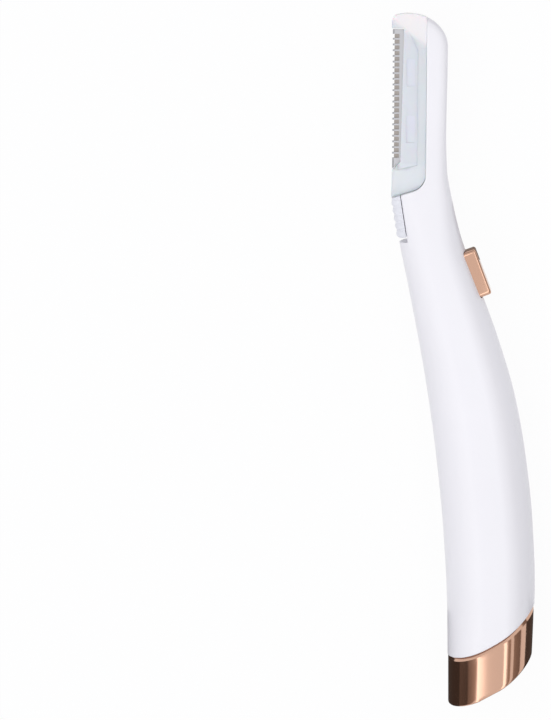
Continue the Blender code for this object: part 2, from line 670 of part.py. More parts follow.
for name, radius, low, high in (("pipe_bore_cut", PIPE_RADIUS + FIT, -PIPE_LENGTH - PAST, 2 * PAST),
                                ("light_bore_cut", LED_RADIUS + FIT, -PIPE_LENGTH - LED_LENGTH,
                                 -PIPE_LENGTH - FIT)):
    shell_cuts.append(turned(name, ((radius, low), (radius, high)), light_axis, SMALL_STEPS))


def shell(name, side):
    """One moulded shell: half of the outer form, hollowed and cut for what it holds."""
    places = stations(0.0, HANDLE_LENGTH, HANDLE_STATIONS)
    places += stations(HANDLE_LENGTH, LENGTH + 2 * PAST, HEAD_STATIONS)[1:]
    piece = skin(name, [half_ring(y, side, base=PARTING_GAP) for y in places], finish=white)
    for cutter in shell_cuts:
        shape_by(piece, cutter)
    return piece


left = shell("housing_left", 1)
right = shell("housing_right", -1)
for number, (x, y) in enumerate(PINS):
    shape_by(left, rod(f"pin_{number}", x, y, (-PIN_DEPTH, PIN_DEPTH), PIN_RADIUS), "UNION")
    shape_by(right, rod(f"pin_hole_{number}_cut", x, y, (-PIN_DEPTH - 2 * FIT, PAST), PIN_RADIUS + FIT))

# End cap: the same outline carried on down, with a spigot that plugs into the shells
cap_reach = FOOT_RISE + CAP_HEIGHT + 4 * PAST
cap = skin("end_cap", [full_ring(y, CAP_INSET) for y in stations(-3 * PAST, cap_reach, 7)], finish=rose_gold)
shape_by(cap, above_foot("cap_top_cut", CAP_HEIGHT))
spigot = inner_form("spigot", PAST, cap_reach + SPIGOT_HEIGHT, 7, WALL + FIT)
shape_by(spigot, above_foot("spigot_top_cut", CAP_HEIGHT + SPIGOT_HEIGHT))
shape_by(cap, spigot, "UNION")
shape_by(cap, below_foot("foot_cut", 0.0))

PEDESTAL_TOP = -SPRING_LENGTH - CONTACT_THICKNESS - 3 * FIT
PEDESTAL_BACK = CELL_RADIUS
pedestal_long = box("pedestal_long", (-TUBE_RADIUS, PEDESTAL_BACK), (-REACH, PEDESTAL_TOP),
                    (-PEDESTAL_WALL / 2, PEDESTAL_WALL / 2), battery_axis)
pedestal_cross = box("pedestal_cross", (-PEDESTAL_WALL / 2, PEDESTAL_WALL / 2), (-REACH, PEDESTAL_TOP),
                     (-CONTACT_WIDTH, CONTACT_WIDTH), battery_axis)
for name, inset, top in (("cap_room_cut", CAP_INSET + CAP_WALL, CAP_HEIGHT - CAP_WALL),
                         ("spigot_room_cut", WALL + FIT + SPIGOT_WALL, REACH / 2)):
    room = inner_form(name, -2 * PAST, cap_reach + SPIGOT_HEIGHT + PAST, 8, inset)
    shape_by(room, below_foot(f"{name}_floor", CAP_FLOOR))
    shape_by(room, above_foot(f"{name}_top", top))
    shape_by(room, pedestal_long)
    shape_by(room, pedestal_cross)
    shape_by(cap, room)

# Cell, its tube, and the metal that carries its current
cell_shoulder = CELL_LENGTH - NUB_HEIGHT
cell_profile = ((CELL_RADIUS - CELL_CRIMP, 0.0), (CELL_RADIUS, CELL_CRIMP),
                (CELL_RADIUS, cell_shoulder - CELL_CRIMP), (CELL_RADIUS - CELL_CRIMP, cell_shoulder),
                (NUB_RADIUS, cell_shoulder), (NUB_RADIUS, CELL_LENGTH))
turned("battery_cell", cell_profile, battery_axis, finish=cell_sleeve)
tube_hole = 2 * TAIL_HALF_WIDTH
turned_ring("battery_tube", ((CELL_RADIUS + FIT, -TUBE_OVERHANG), (TUBE_RADIUS, -TUBE_OVERHANG),
                             (TUBE_RADIUS, TUBE_TOP), (tube_hole, TUBE_TOP), (tube_hole, TUBE_TOP - TUBE_END),
                             (CELL_RADIUS + FIT, TUBE_TOP - TUBE_END)), battery_axis, finish=natural_nylon)
contact_base = CELL_LENGTH + FIT
positive = box("positive_contact", (-CONTACT_WIDTH / 2, CONTACT_WIDTH / 2),
               (contact_base, contact_base + CONTACT_THICKNESS), (-CONTACT_WIDTH / 2, CONTACT_WIDTH / 2),
               battery_axis, nickel)
shape_by(positive, box("positive_tail", (-TAIL_HALF_WIDTH, TAIL_HALF_WIDTH),
                       (contact_base + CONTACT_THICKNESS / 2, TUBE_TOP + TAIL_LENGTH),
                       (-CONTACT_THICKNESS / 2, CONTACT_THICKNESS / 2), battery_axis), "UNION")
STRIP_FOOT = -SPRING_LENGTH + FIT
box("negative_strip", (STRIP_FACE - CONTACT_THICKNESS, STRIP_FACE), (STRIP_FOOT, STRIP_TOP),
    (-CONTACT_WIDTH / 4, CONTACT_WIDTH / 4), battery_axis, nickel)
box("cap_contact", (STRIP_FACE - CONTACT_THICKNESS - FIT, PEDESTAL_BACK),
    (PEDESTAL_TOP + FIT, PEDESTAL_TOP + FIT + CONTACT_THICKNESS), (-CONTACT_WIDTH / 2, CONTACT_WIDTH / 2),
    battery_axis, nickel)
spring_foot = PEDESTAL_TOP + 2 * FIT + CONTACT_THICKNESS + SPRING_WIRE
coil("battery_spring", (SPRING_FOOT_RADIUS, SPRING_TIP_RADIUS), (spring_foot, -SPRING_WIRE - FIT),
     SPRING_WIRE, SPRING_TURNS, battery_axis, finish=steel)

# Driver board with its parts, standing on edge in the ribs under the button
box("main_board", (BOARD_BASE, BOARD_TOP), (-BOARD_BELOW, BOARD_ABOVE), (-BOARD_WIDTH / 2, BOARD_WIDTH / 2),
    button_axis, board_green)
switch = box("switch_body", (SWITCH_BASE, SWITCH_TOP), (-SWITCH_WIDTH / 2, SWITCH_WIDTH / 2),
             (-SWITCH_WIDTH / 2, SWITCH_WIDTH / 2), button_axis, chip_black)
PLUNGER_FOOT = SWITCH_TOP - PLUNGER_SEAT


def disc(name, x, radius, height=0.0, finish=None):
    """A round bar along the button's own axis, between the two values of x."""
    rings = [[(place, height + radius * cos(2 * pi * i / SMALL_STEPS), radius * sin(2 * pi * i / SMALL_STEPS))
              for i in range(SMALL_STEPS)] for place in x]
    return skin(name, rings, button_axis, finish=finish)


shape_by(switch, disc("switch_bore_cut", (PLUNGER_FOOT - BUTTON_TRAVEL - STROKE_ROOM, SWITCH_TOP + PAST),
                      PLUNGER_RADIUS + PLUNGER_FIT))
disc("switch_plunger", (PLUNGER_FOOT, PLUNGER_TOP), PLUNGER_RADIUS, finish=ferrite)
solder_face = BOARD_TOP + SOLDER_GAP
disc("boost_inductor", (solder_face, solder_face + INDUCTOR_HEIGHT), INDUCTOR_RADIUS,
     INDUCTOR_PLACE - BOARD_BELOW, ferrite)
chip_middle = CHIP_PLACE - BOARD_BELOW
box("driver_chip", (solder_face, solder_face + CHIP_HEIGHT),
    (chip_middle - CHIP_LENGTH / 2, chip_middle + CHIP_LENGTH / 2), (-CHIP_WIDTH / 2, CHIP_WIDTH / 2),
    button_axis, chip_black)

button_plan = (BUTTON_LENGTH, BUTTON_WIDTH, BUTTON_CORNER)
lip_plan = (BUTTON_LENGTH + 2 * BUTTON_LIP, BUTTON_WIDTH + 2 * BUTTON_LIP, BUTTON_CORNER + BUTTON_LIP / 2)


def drawn_in(plan, by):
    return (plan[0] - 2 * by, plan[1] - 2 * by, plan[2] - by / 2)


stack("power_button", [(BUTTON_UNDERSIDE, *lip_plan), (BUTTON_REST, *lip_plan),
                       (BUTTON_REST + HAIR, *button_plan), (BUTTON_PROUD - BUTTON_RIM, *button_plan),
                       (BUTTON_PROUD - 0.3 * BUTTON_RIM, *drawn_in(button_plan, 0.3 * BUTTON_RIM)),
                       (BUTTON_PROUD, *drawn_in(button_plan, BUTTON_RIM))], button_axis, rose_gold)

# Light: a clear-headed diode pushed into its bore, and the pipe that carries its light to the cartridge
turned("light_pipe", ((PIPE_RADIUS, -PIPE_LENGTH), (PIPE_RADIUS, -FIT)), light_axis, SMALL_STEPS, finish=lens)
led_top = -PIPE_LENGTH - 3 * FIT
led_base = led_top - LED_LENGTH
flange_top = led_base + LED_FLANGE_HEIGHT
led_profile = [(LED_FLANGE_RADIUS, led_base), (LED_FLANGE_RADIUS, flange_top), (LED_RADIUS, flange_top + HAIR)]
for step in range(4):
    angle = pi / 2 * step / 4
    led_profile.append((LED_RADIUS * cos(angle), led_top - LED_RADIUS + LED_RADIUS * sin(angle)))
turned("led", led_profile, light_axis, SMALL_STEPS, finish=lens)

# Leads: from the contacts to the board's lower end, and from its upper end to the light
board_face = BOARD_BASE - LEAD_RADIUS - FIT
for side, name, finish in ((1, "led_lead_positive", red_lead), (-1, "led_lead_negative", black_lead)):
    z = side * LEAD_SPREAD
    start = on_frame(BUTTON, board_face, BOARD_ABOVE - LEAD_OVERLAP)
    rise = on_frame(BUTTON, board_face, BOARD_ABOVE - LEAD_OVERLAP / 3)
    turn = on_frame(LIGHT, 0.0, led_base - LEAD_BEND / 2)
    end = on_frame(LIGHT, 0.0, led_base - FIT)
    lead(name, ((*start, z), (*rise, z), (*turn, z / 2), (*end, z / 2)), LEAD_RADIUS, finish)
strip_middle = STRIP_FACE - CONTACT_THICKNESS / 2
board_foot = on_frame(BUTTON, board_face, -BOARD_BELOW)
for side, name, finish, across in ((1, "battery_lead_positive", red_lead, 0.0),
                                   (-1, "battery_lead_negative", black_lead, strip_middle)):
    lean = -across / 6
    z = side * LEAD_SPREAD
    start = on_frame(BATTERY, across, STRIP_TOP + FIT)
    rise = on_frame(BATTERY, across + lean, STRIP_TOP + LEAD_BEND)
    end = on_frame(BUTTON, board_face, LEAD_OVERLAP - BOARD_BELOW)
    lead(name, ((*start, 0.0), (*rise, z / 3), (*board_foot, z), (*end, z)), LEAD_RADIUS, finish)

# Blade cartridge: a clear frame with a recessed panel on each side and two pegs on its back
BLADE_FOOT = HANDLE_LENGTH + CHIN_HEIGHT
BLADE_TOP = LENGTH - BROW_HEIGHT
SLOT_FACE = COMB_FRONT + STEEL_SHOWING    # where the steel goes into the plastic
crown_line = crown(CARTRIDGE_FRONT + 1.7 * FRONT_CORNER, CARTRIDGE_BACK, 6)
front_top = crown_line[-1][1] - FRONT_CORNER / 7
corner_points = []
for step in range(4):
    angle = pi / 2 + pi / 2 * step / 3
    corner_points.append((CARTRIDGE_FRONT + FRONT_CORNER * (1 + cos(angle)),
                          front_top - FRONT_CORNER * (1 - sin(angle))))
cartridge_outline = cartridge_base() + crown_line + corner_points + [
    (CARTRIDGE_FRONT, BLADE_TOP), (SLOT_FACE, BLADE_TOP), (SLOT_FACE - CHIN_LEAN, BLADE_FOOT + CHIN_RISE),
    (CARTRIDGE_FRONT + CHIN_LEAN / 2, BLADE_FOOT)]
cartridge = prism("cartridge_frame", cartridge_outline, -CARTRIDGE_HALF_THICKNESS, CARTRIDGE_HALF_THICKNESS,
                  finish=clear_ice)
panel_back = SLOT_FACE + PANEL_WIDTH
panel_front = SLOT_FACE - PANEL_LEAP
panel_top = BLADE_TOP - 2 * FIT
panel_foot = BLADE_FOOT + FIT
panel_outline = ((panel_front, panel_top), (SLOT_FACE + PANEL_BROW_WIDTH, panel_top),
                 (panel_back, panel_top - PANEL_SLANT), (panel_back, panel_foot + PANEL_CHIN_RISE),
                 (panel_front, panel_foot))
window_front = SLOT_FACE + WINDOW_INSET
for side in (1, -1):
    face = side * (CARTRIDGE_HALF_THICKNESS - PANEL_DEPTH)
    low, high = sorted((face, side * REACH))
    shape_by(cartridge, prism(f"panel_{side + 1}_cut", panel_outline, low, high))
    low, high = sorted((face - side * WINDOW_DEPTH, side * REACH))
    for number, place in enumerate(WINDOW_PLACES):
        base = BLADE_FOOT + place
        window = box(f"window_{number}_{side + 1}_cut", (window_front, window_front + WINDOW_WIDTH),
                     (base, base + WINDOW_LENGTH), (low, high))
        shape_by(cartridge, window)
steel_slot = COMB_HALF_THICKNESS + FIT
shape_by(cartridge, box("steel_slot_cut", (CARTRIDGE_FRONT - PAST, COMB_FRONT + COMB_DEPTH + FIT),
                        (BLADE_FOOT, BLADE_TOP - FIT), (-steel_slot, steel_slot)))
for number, place in enumerate(PEG_PLACES):
    y = HANDLE_LENGTH + place
    peg = box(f"peg_{number}", (CARTRIDGE_BACK - PAST / 2, CARTRIDGE_BACK + PEG_REACH),
              (y - PEG_LENGTH / 2, y + PEG_LENGTH / 2), (-PEG_WIDTH / 2, PEG_WIDTH / 2))
    shape_by(cartridge, peg, "UNION")

# Blade: a thin steel strip with its edge to the front, its lower corner clipped
STEEL_FOOT = BLADE_FOOT + FIT
STEEL_TOP = BLADE_TOP - 2 * FIT
comb_back = COMB_FRONT + COMB_DEPTH
blade_back = comb_back - FIT
blade_edge = COMB_FRONT + COMB_SHEET + BLADE_SHELTER
bevel_end = blade_edge + BLADE_BEVEL
blade_profile = ((blade_back, -BLADE_HALF_THICKNESS), (bevel_end, -BLADE_HALF_THICKNESS), (blade_edge, 0.0),
                 (bevel_end, BLADE_HALF_THICKNESS), (blade_back, BLADE_HALF_THICKNESS))
blade = skin("blade", [[(x, y, z) for x, z in blade_profile] for y in (STEEL_FOOT, STEEL_TOP)], finish=steel)
clip_back = CARTRIDGE_FRONT + CLIP_WIDTH
clip_front = CARTRIDGE_FRONT - 2 * PAST
clipped_corner = prism("steel_corner_cut", ((clip_front, STEEL_FOOT - PAST), (clip_back, STEEL_FOOT - PAST),
                                            (clip_back, STEEL_FOOT + CLIP_HEIGHT),
                                            (clip_front, STEEL_FOOT + FIT)), -REACH, REACH)
shape_by(blade, clipped_corner)

# Guard comb: sheet folded round the edge, then slotted into teeth that bridge it
def fold(radius, steps=4):
    """(x, z) points of the fold's half round, from above to below."""
    middle = COMB_FRONT + COMB_HALF_THICKNESS
    return [(middle + radius * cos(pi / 2 + pi * step / steps), radius * sin(pi / 2 + pi * step / steps))
            for step in range(steps + 1)]


COMB_INNER = COMB_HALF_THICKNESS - COMB_SHEET
profile = [(comb_back, COMB_HALF_THICKNESS), *fold(COMB_HALF_THICKNESS), (comb_back, -COMB_HALF_THICKNESS),
           (comb_back, -COMB_INNER), *reversed(fold(COMB_INNER)), (comb_back, COMB_INNER)]
comb = skin("guard_comb", [[(x, y, z) for x, z in profile] for y in (STEEL_FOOT, STEEL_TOP)], finish=steel)
teeth_foot = STEEL_FOOT + CLIP_HEIGHT + COMB_ENDS    # a tooth over the clipped corner would hang loose
comb_run = STEEL_TOP - COMB_ENDS - teeth_foot
slot_count = int((comb_run + COMB_TOOTH) / COMB_PITCH)
first_slot = teeth_foot + (comb_run - slot_count * COMB_PITCH + COMB_TOOTH) / 2
for number in range(slot_count):
    base = first_slot + number * COMB_PITCH
    shape_by(comb, box(f"comb_slot_{number}_cut", (COMB_FRONT - PAST, COMB_FRONT + COMB_SLOT_DEPTH),
                       (base, base + COMB_PITCH - COMB_TOOTH), (-PAST, PAST)))
shape_by(comb, clipped_corner)

# Release tab: ribbed for the thumb, with a T-shaped key that the bed's groove holds
rib_pitch = (TAB_BELOW + TAB_ABOVE) / TAB_RIBS
tab_face = -TAB_DEPTH
tab_outline = [(-2 * FIT, -TAB_BELOW), (-2 * FIT, TAB_ABOVE)]
for number in range(TAB_RIBS):
    top = TAB_ABOVE - number * rib_pitch
    for share, out in TAB_RIB_CURVE:
        tab_outline.append((tab_face - out * TAB_RIB_HEIGHT, top - share * rib_pitch))
tab_outline.append((tab_face + TAB_FOOT_LEAN, -TAB_BELOW))
tab = prism("release_tab", tab_outline, -HALF_THICKNESS, HALF_THICKNESS, tab_axis, tab_white)
tab_limit = skin("tab_limit", [full_ring(y, -TAB_PROUD - TAB_RIB_HEIGHT)
                               for y in stations(tab_y - 2 * TAB_BELOW, tab_y + 2 * TAB_ABOVE, 5)])
shape_by(tab, tab_limit, "INTERSECT")
shape_by(tab, box("key_neck", (-4 * FIT, KEY_NECK + KEY_HEAD), (0.0, KEY_LENGTH),
                  (-KEY_WIDTH / 2, KEY_WIDTH / 2), tab_axis), "UNION")
shape_by(tab, box("key_head", (KEY_NECK + SLIDE_FIT, KEY_NECK + SLIDE_FIT + KEY_HEAD), (0.0, KEY_LENGTH),
                  (-KEY_WIDTH / 2 - KEY_LIP, KEY_WIDTH / 2 + KEY_LIP), tab_axis), "UNION")
coil("release_spring", (RETURN_RADIUS, RETURN_RADIUS), (-RETURN_LENGTH - FIT, -RETURN_WIRE - FIT),
     RETURN_WIRE, RETURN_TURNS, tab_axis, centre=KEY_NECK + SLIDE_FIT, finish=steel)
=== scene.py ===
"""A lighted dermaplaning tool, dressed for the camera piece by piece as it goes together.

Shapes are drawn in the tool's own millimetres: X from the blade (-) to the button (+), Y from the
foot to the crown, Z from the parting of the two shells. to_frame() then takes them to the frame.
"""
from math import acos, atan, cos, hypot, pi, radians, sin, sqrt, tan

import bpy
import bmesh
from mathutils import Matrix, Vector


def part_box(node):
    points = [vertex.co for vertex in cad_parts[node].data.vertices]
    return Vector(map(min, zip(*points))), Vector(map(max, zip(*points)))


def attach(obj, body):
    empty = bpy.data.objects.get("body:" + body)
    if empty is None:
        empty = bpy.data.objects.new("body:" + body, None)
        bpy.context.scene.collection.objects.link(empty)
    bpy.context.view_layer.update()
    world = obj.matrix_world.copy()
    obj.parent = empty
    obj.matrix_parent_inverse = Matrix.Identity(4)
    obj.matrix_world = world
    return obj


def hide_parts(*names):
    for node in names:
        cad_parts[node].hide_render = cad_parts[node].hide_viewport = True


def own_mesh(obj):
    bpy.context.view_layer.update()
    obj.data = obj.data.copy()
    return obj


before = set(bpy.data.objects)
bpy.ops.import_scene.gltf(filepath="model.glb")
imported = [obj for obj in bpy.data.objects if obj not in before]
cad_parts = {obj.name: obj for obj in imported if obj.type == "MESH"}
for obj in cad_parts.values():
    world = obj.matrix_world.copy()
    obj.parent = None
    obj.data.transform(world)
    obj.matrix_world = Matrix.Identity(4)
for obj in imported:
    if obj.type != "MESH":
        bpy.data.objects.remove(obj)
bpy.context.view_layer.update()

# Shells: two white ABS mouldings that meet on the tool's middle plane, located on three pins and
# welded. They carry the whole outer form, the pocket for the cartridge and the bed for the tab.
# The moulds are lightly polished, so the white is soft and clean with a faint satin waviness.
HANDLE_LENGTH = 122.6         # from the foot to the cartridge
LENGTH = 165.6
HALF_THICKNESS = 11.0
WIDEST_SHARE = 0.52           # of the depth, from the front to the widest place
SIDE_FLAT = 4.4               # flat of the sides where the tool is thickest
HANDLE_ROUNDNESS = 2.1        # the section's exponent: 2 is an ellipse, more is squarer
SPINE_ROUNDNESS = 3.6
SPINE_START = 12.0            # the section changes from this far below the cartridge
SPINE_FULL = 8.0              # to this far above its foot
CROWN_WIDTH = 9.3
CROWN_HEIGHT = 8.1
CARTRIDGE_FRONT = -17.3
CARTRIDGE_BACK = -9.3
POCKET_GAP = 0.17             # between the solids of the cartridge and its pocket
FLOOR_SLOPE = radians(18.0)   # of the cartridge's underside
FLOOR_CORNER = 4.0
FOOT_RISE = 13.0              # of the foot's slope, from front to back
FOOT_SAG = 2.0                # how far that slope bows down
SEAM = 12.17                  # height of the shells' lower edge above the foot
BACK_MOST = 17.75
TRIM = 0.02                   # keeps the fine form inside the solids' box
PARTING = 0.06                # from the middle plane to each shell
EDGE_LIFT = 0.18              # chamfer along the parting line
EDGE_INSET = 0.12
POCKET_EDGE = 0.12            # radius along the pocket's rim
SEAM_EDGE = 0.22              # radius along the seam
FOOT_LEAN = 0.87              # depth square to the foot's slope, of a height above it
SKIN = 0.35                   # fine outer skin, over the inner ribs that the solids have
THINNEST = 0.003              # keeps a shell's points off its flat side
SAME_PLACE = 0.00002          # points nearer than this are one
CAD_SAME_PLACE = 0.001        # and so are those of a solid
SHARP = 32                    # degrees, from which an edge stays sharp
FAR = 60.0                    # past the tool, for cuts that go right through
# The outlines: shares of the handle's or the head's length, each with its X or half thickness
front_points = ((0, -2.95), (.18, -3.2), (.33, -4.2), (.49, -6.15), (.65, -9.0), (.815, -12.85),
                (.915, -15.4), (1, -17.2))
back_points = ((0, 16.7), (.10, 17.4), (.235, 17.75), (.365, 17.0), (.49, 15.25), (.61, 12.5),
               (.735, 7.85), (.855, 2.3), (.925, -.85), (1, -3.1))
spine_points = ((.15, -4.2), (.35, -4.45), (.70, -4.25), (1.1, -4.2))
side_points = ((0, 10.56), (.11, 11.0), (.57, 11.0), (.70, 10.175), (.82, 8.36), (.92, 6.56),
               (1, 5.2))
spine_side_points = ((.45, 2.916), (1.1, 2.7))


def smooth(points):
    """A curve through (place, value) points, level wherever its run turns back."""
    rises = [(b[1] - a[1]) / (b[0] - a[0]) for a, b in zip(points, points[1:])]
    slopes = [rises[0]]
    for before, after in zip(rises, rises[1:]):
        slopes.append(2 * before * after / (before + after) if before * after > 0 else 0.0)
    slopes.append(rises[-1])

    def curve(place):
        i = 0
        while i < len(points) - 2 and place > points[i + 1][0]:
            i += 1
        (low, first), (high, last) = points[i:i + 2]
        t = min(max((place - low) / (high - low), 0.0), 1.0)
        return ((1 + 2 * t) * (1 - t) ** 2 * first + t * (1 - t) ** 2 * (high - low) * slopes[i]
                + t * t * (3 - 2 * t) * last + t * t * (t - 1) * (high - low) * slopes[i + 1])
    return curve


def ease(place, start, end):
    """From 0 at start to 1 at end, level at both."""
    t = min(max((place - start) / (end - start), 0.0), 1.0)
    return t * t * (3 - 2 * t)


def along_tool(handle, head=()):
    """A curve along the tool, from the handle's shares and the head's."""
    return smooth([(share * HANDLE_LENGTH, value) for share, value in handle]
                  + [(HANDLE_LENGTH + share * (LENGTH - HANDLE_LENGTH), value) for share, value in head])


front_of = along_tool(front_points)
back_of = along_tool(back_points, spine_points)
half_of = along_tool(side_points, spine_side_points)
crown_x = back_of(LENGTH) - CROWN_WIDTH
crown_y = LENGTH - CROWN_HEIGHT
floor_tangent = CARTRIDGE_BACK - FLOOR_CORNER + FLOOR_CORNER * sin(FLOOR_SLOPE)    # where its round begins


def floor_height(x):
    """Y of the cartridge's sloping underside."""
    return HANDLE_LENGTH + (x - CARTRIDGE_FRONT) * tan(FLOOR_SLOPE)


floor_centre = (CARTRIDGE_BACK - FLOOR_CORNER,
                floor_height(floor_tangent) + FLOOR_CORNER * cos(FLOOR_SLOPE))


def section(y):
    """The outer form's section at y: widest place, half of its flat, and its exponent."""
    centre = front_of(y) + WIDEST_SHARE * (back_of(y) - front_of(y))
    grow = ease(y, HANDLE_LENGTH - SPINE_START, HANDLE_LENGTH + SPINE_FULL)
    return centre, SIDE_FLAT / 2 * half_of(y) / HALF_THICKNESS, HANDLE_ROUNDNESS + grow * (
        SPINE_ROUNDNESS - HANDLE_ROUNDNESS)


def to_back(x, y):
    """How far a point lies in from the back, and from the crown's arc above its centre."""
    if y <= crown_y:
        return back_of(y) - TRIM - x
    out = hypot((x - crown_x) / (CROWN_WIDTH - TRIM), (y - crown_y) / (CROWN_HEIGHT - TRIM))
    return hypot(x - crown_x, y - crown_y) * (1 / max(out, 1e-6) - 1)


def height_at(x, y):
    """How far the outer form rises from the middle plane."""
    centre, flat, power = section(y)
    half = half_of(y) - TRIM
    span = back_of(y) - TRIM - centre - flat
    share = max(0.0, 1 - to_back(x, y) / span)
    if x < centre - flat:
        share = max(share, (centre - flat - x) / (centre - flat - front_of(y) - TRIM))
    return half * max(0.0, 1 - min(share, 1.0) ** power) ** (1 / power)


def to_pocket(x, y):
    """How far a point lies in from the pocket's floor, corner or straight wall."""
    from_x = x - floor_centre[0] - POCKET_GAP
    from_y = y - floor_centre[1] + POCKET_GAP
    if from_y > 0:
        return from_x - FLOOR_CORNER
    if from_x > -from_y * tan(FLOOR_SLOPE):
        return hypot(from_x, from_y) - FLOOR_CORNER
    return from_x * sin(FLOOR_SLOPE) - from_y * cos(FLOOR_SLOPE) - FLOOR_CORNER


def pocket_x(y):
    """X of the pocket's outline at y."""
    low, high = CARTRIDGE_FRONT - 3, CARTRIDGE_BACK + 1
    for _ in range(40):
        middle = (low + high) / 2
        if to_pocket(middle, y) > 0:
            high = middle
        else:
            low = middle
    return high


foot_start = Vector((front_of(0.0), 0.0))
foot_end = Vector((BACK_MOST, FOOT_RISE))
foot_chord = foot_end - foot_start
foot_radius = foot_chord.length ** 2 / (8 * FOOT_SAG) + FOOT_SAG / 2
foot_centre = (foot_start + foot_end) / 2 + Vector((-foot_chord.y, foot_chord.x)).normalized() * (
    foot_radius - FOOT_SAG)


def foot_height(x):
    """Y of the foot's bowed slope."""
    return foot_centre.y - sqrt(foot_radius ** 2 - (x - foot_centre.x) ** 2)


def spread(low, high, steps):
    return [low + (high - low) * i / steps for i in range(steps + 1)]


def round_off(depth, radius):
    """How far a rounded edge falls below the face, at that depth in from the edge."""
    if depth >= radius:
        return 0.0
    return radius - sqrt(max(0.0, radius ** 2 - (radius - max(depth, 0.0)) ** 2))


def shown(name, data):
    """An object of that mesh, lamp or lens, in the scene."""
    made = bpy.data.objects.new(name, data)
    bpy.context.scene.collection.objects.link(made)
    return made


def settled(piece):
    """The piece with its modifiers worked into its mesh."""
    done = piece.evaluated_get(bpy.context.evaluated_depsgraph_get())
    mesh = bpy.data.meshes.new_from_object(done)
    piece.modifiers.clear()
    piece.data = mesh
    return piece


def solid(name, points, faces):
    """A closed mesh from points in the tool's millimetres, merged where they meet, facing outwards."""
    mesh = bpy.data.meshes.new(name)
    mesh.from_pydata(points, [], faces)
    shape = bmesh.new()
    shape.from_mesh(mesh)
    bmesh.ops.remove_doubles(shape, verts=shape.verts, dist=SAME_PLACE)
    bmesh.ops.recalc_face_normals(shape, faces=shape.faces)
    shape.to_mesh(mesh)
    shape.free()
    return shown(name, mesh)


def loft(name, rings, closed=False):
    """A solid through rings of points, capped at its two ends or closed on itself."""
    count = len(rings[0])
    points = [tuple(point) for ring in rings for point in ring]
    faces = []
    for i in range(len(rings) if closed else len(rings) - 1):
        low, high = i * count, (i + 1) % len(rings) * count
        faces += [(low + j, low + (j + 1) % count, high + (j + 1) % count, high + j) for j in range(count)]
    if not closed:
        faces += [tuple(reversed(range(count))), tuple(range(len(points) - count, len(points)))]
    return solid(name, points, faces)


def prism(name, outline, low, high):
    """An outline of (x, y) points, extruded along Z."""
    return loft(name, [[(x, y, z) for x, y in outline] for z in (low, high)])


def on(axis, x, y):
    """The tool's (x, y) of a point on one of its tilted axes, given as ((x, y), angle)."""
    (left, base), angle = axis
    return left + x * cos(angle) - y * sin(angle), base + x * sin(angle) + y * cos(angle)


def block(name, axis, x, y, z):
    """A block between the two values of each of x, y and z on a tilted axis."""
    return prism(name, [on(axis, x[i], y[j]) for i, j in ((0, 0), (1, 0), (1, 1), (0, 1))], *z)


def combine(piece, other, operation="DIFFERENCE"):
    """Cut a piece by another or join them; the other one is used up."""
    change = piece.modifiers.new("combine", "BOOLEAN")
    change.operation = operation
    change.solver = "EXACT"
    change.object = other
    settled(piece)
    bpy.data.objects.remove(other)
    return piece


origin = Vector((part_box("cartridge_frame")[0].x - CARTRIDGE_FRONT / 1000, -LENGTH / 2000,
                 HALF_THICKNESS / 1000))
tool_to_frame = Matrix.Translation(origin) @ Matrix.Scale(0.001, 4)
frame_to_tool = Matrix.Scale(1000, 4) @ Matrix.Translation(-origin)


def to_frame(piece, material, sharp=SHARP):
    """The finished piece in the frame's metres, in its material, smooth but for its sharp edges."""
    shape = bmesh.new()
    shape.from_mesh(piece.data)
    gaps = [edge for edge in shape.edges if edge.is_boundary]
    bmesh.ops.holes_fill(shape, edges=gaps, sides=4)    # slivers that the cuts leave open
    shape.to_mesh(piece.data)
    shape.free()
    piece.data.transform(tool_to_frame)
    piece.data.materials.clear()
    piece.data.materials.append(material)
    piece.data.shade_smooth()
    piece.data.set_sharp_from_angle(angle=radians(sharp))
    return piece


def add(tree, kind, settings=(), inputs=()):
    """One node with its settings made and its inputs set or linked."""
    made = tree.nodes.new(kind)
    for name, value in dict(settings).items():
        setattr(made, name, value)
    for name, value in dict(inputs).items():
        if isinstance(value, bpy.types.NodeSocket):
            tree.links.new(value, made.inputs[name])
        else:
            made.inputs[name].default_value = value
    return made


def colour(code):
    """A linear colour from its sRGB hex value."""
    parts = [int(code[i:i + 2], 16) / 255 for i in (0, 2, 4)]
    return (*(p / 12.92 if p <= 0.04045 else ((p + 0.055) / 1.055) ** 2.4 for p in parts), 1.0)


def bare(name):
    """A material without nodes, to be built up."""
    material = bpy.data.materials.new(name)
    material.use_nodes = True
    material.node_tree.nodes.clear()
    return material


def coat(tree, base, marks, gloss, strength, relief, **shader):
    """Ends a material: its colour, and fine marks that move its roughness and stand up in mm."""
    sheen = add(tree, "ShaderNodeMapRange", inputs={"Value": marks, "To Min": gloss[0], "To Max": gloss[1]})
    bump = add(tree, "ShaderNodeBump", inputs={
        "Height": marks, "Strength": strength, "Distance": relief / 1000})
    surface = add(tree, "ShaderNodeBsdfPrincipled", inputs={
        "Base Color": base, "Roughness": sheen.outputs["Result"], "Normal": bump.outputs["Normal"],
        **shader})
    add(tree, "ShaderNodeOutputMaterial", inputs={"Surface": surface.outputs["BSDF"]})


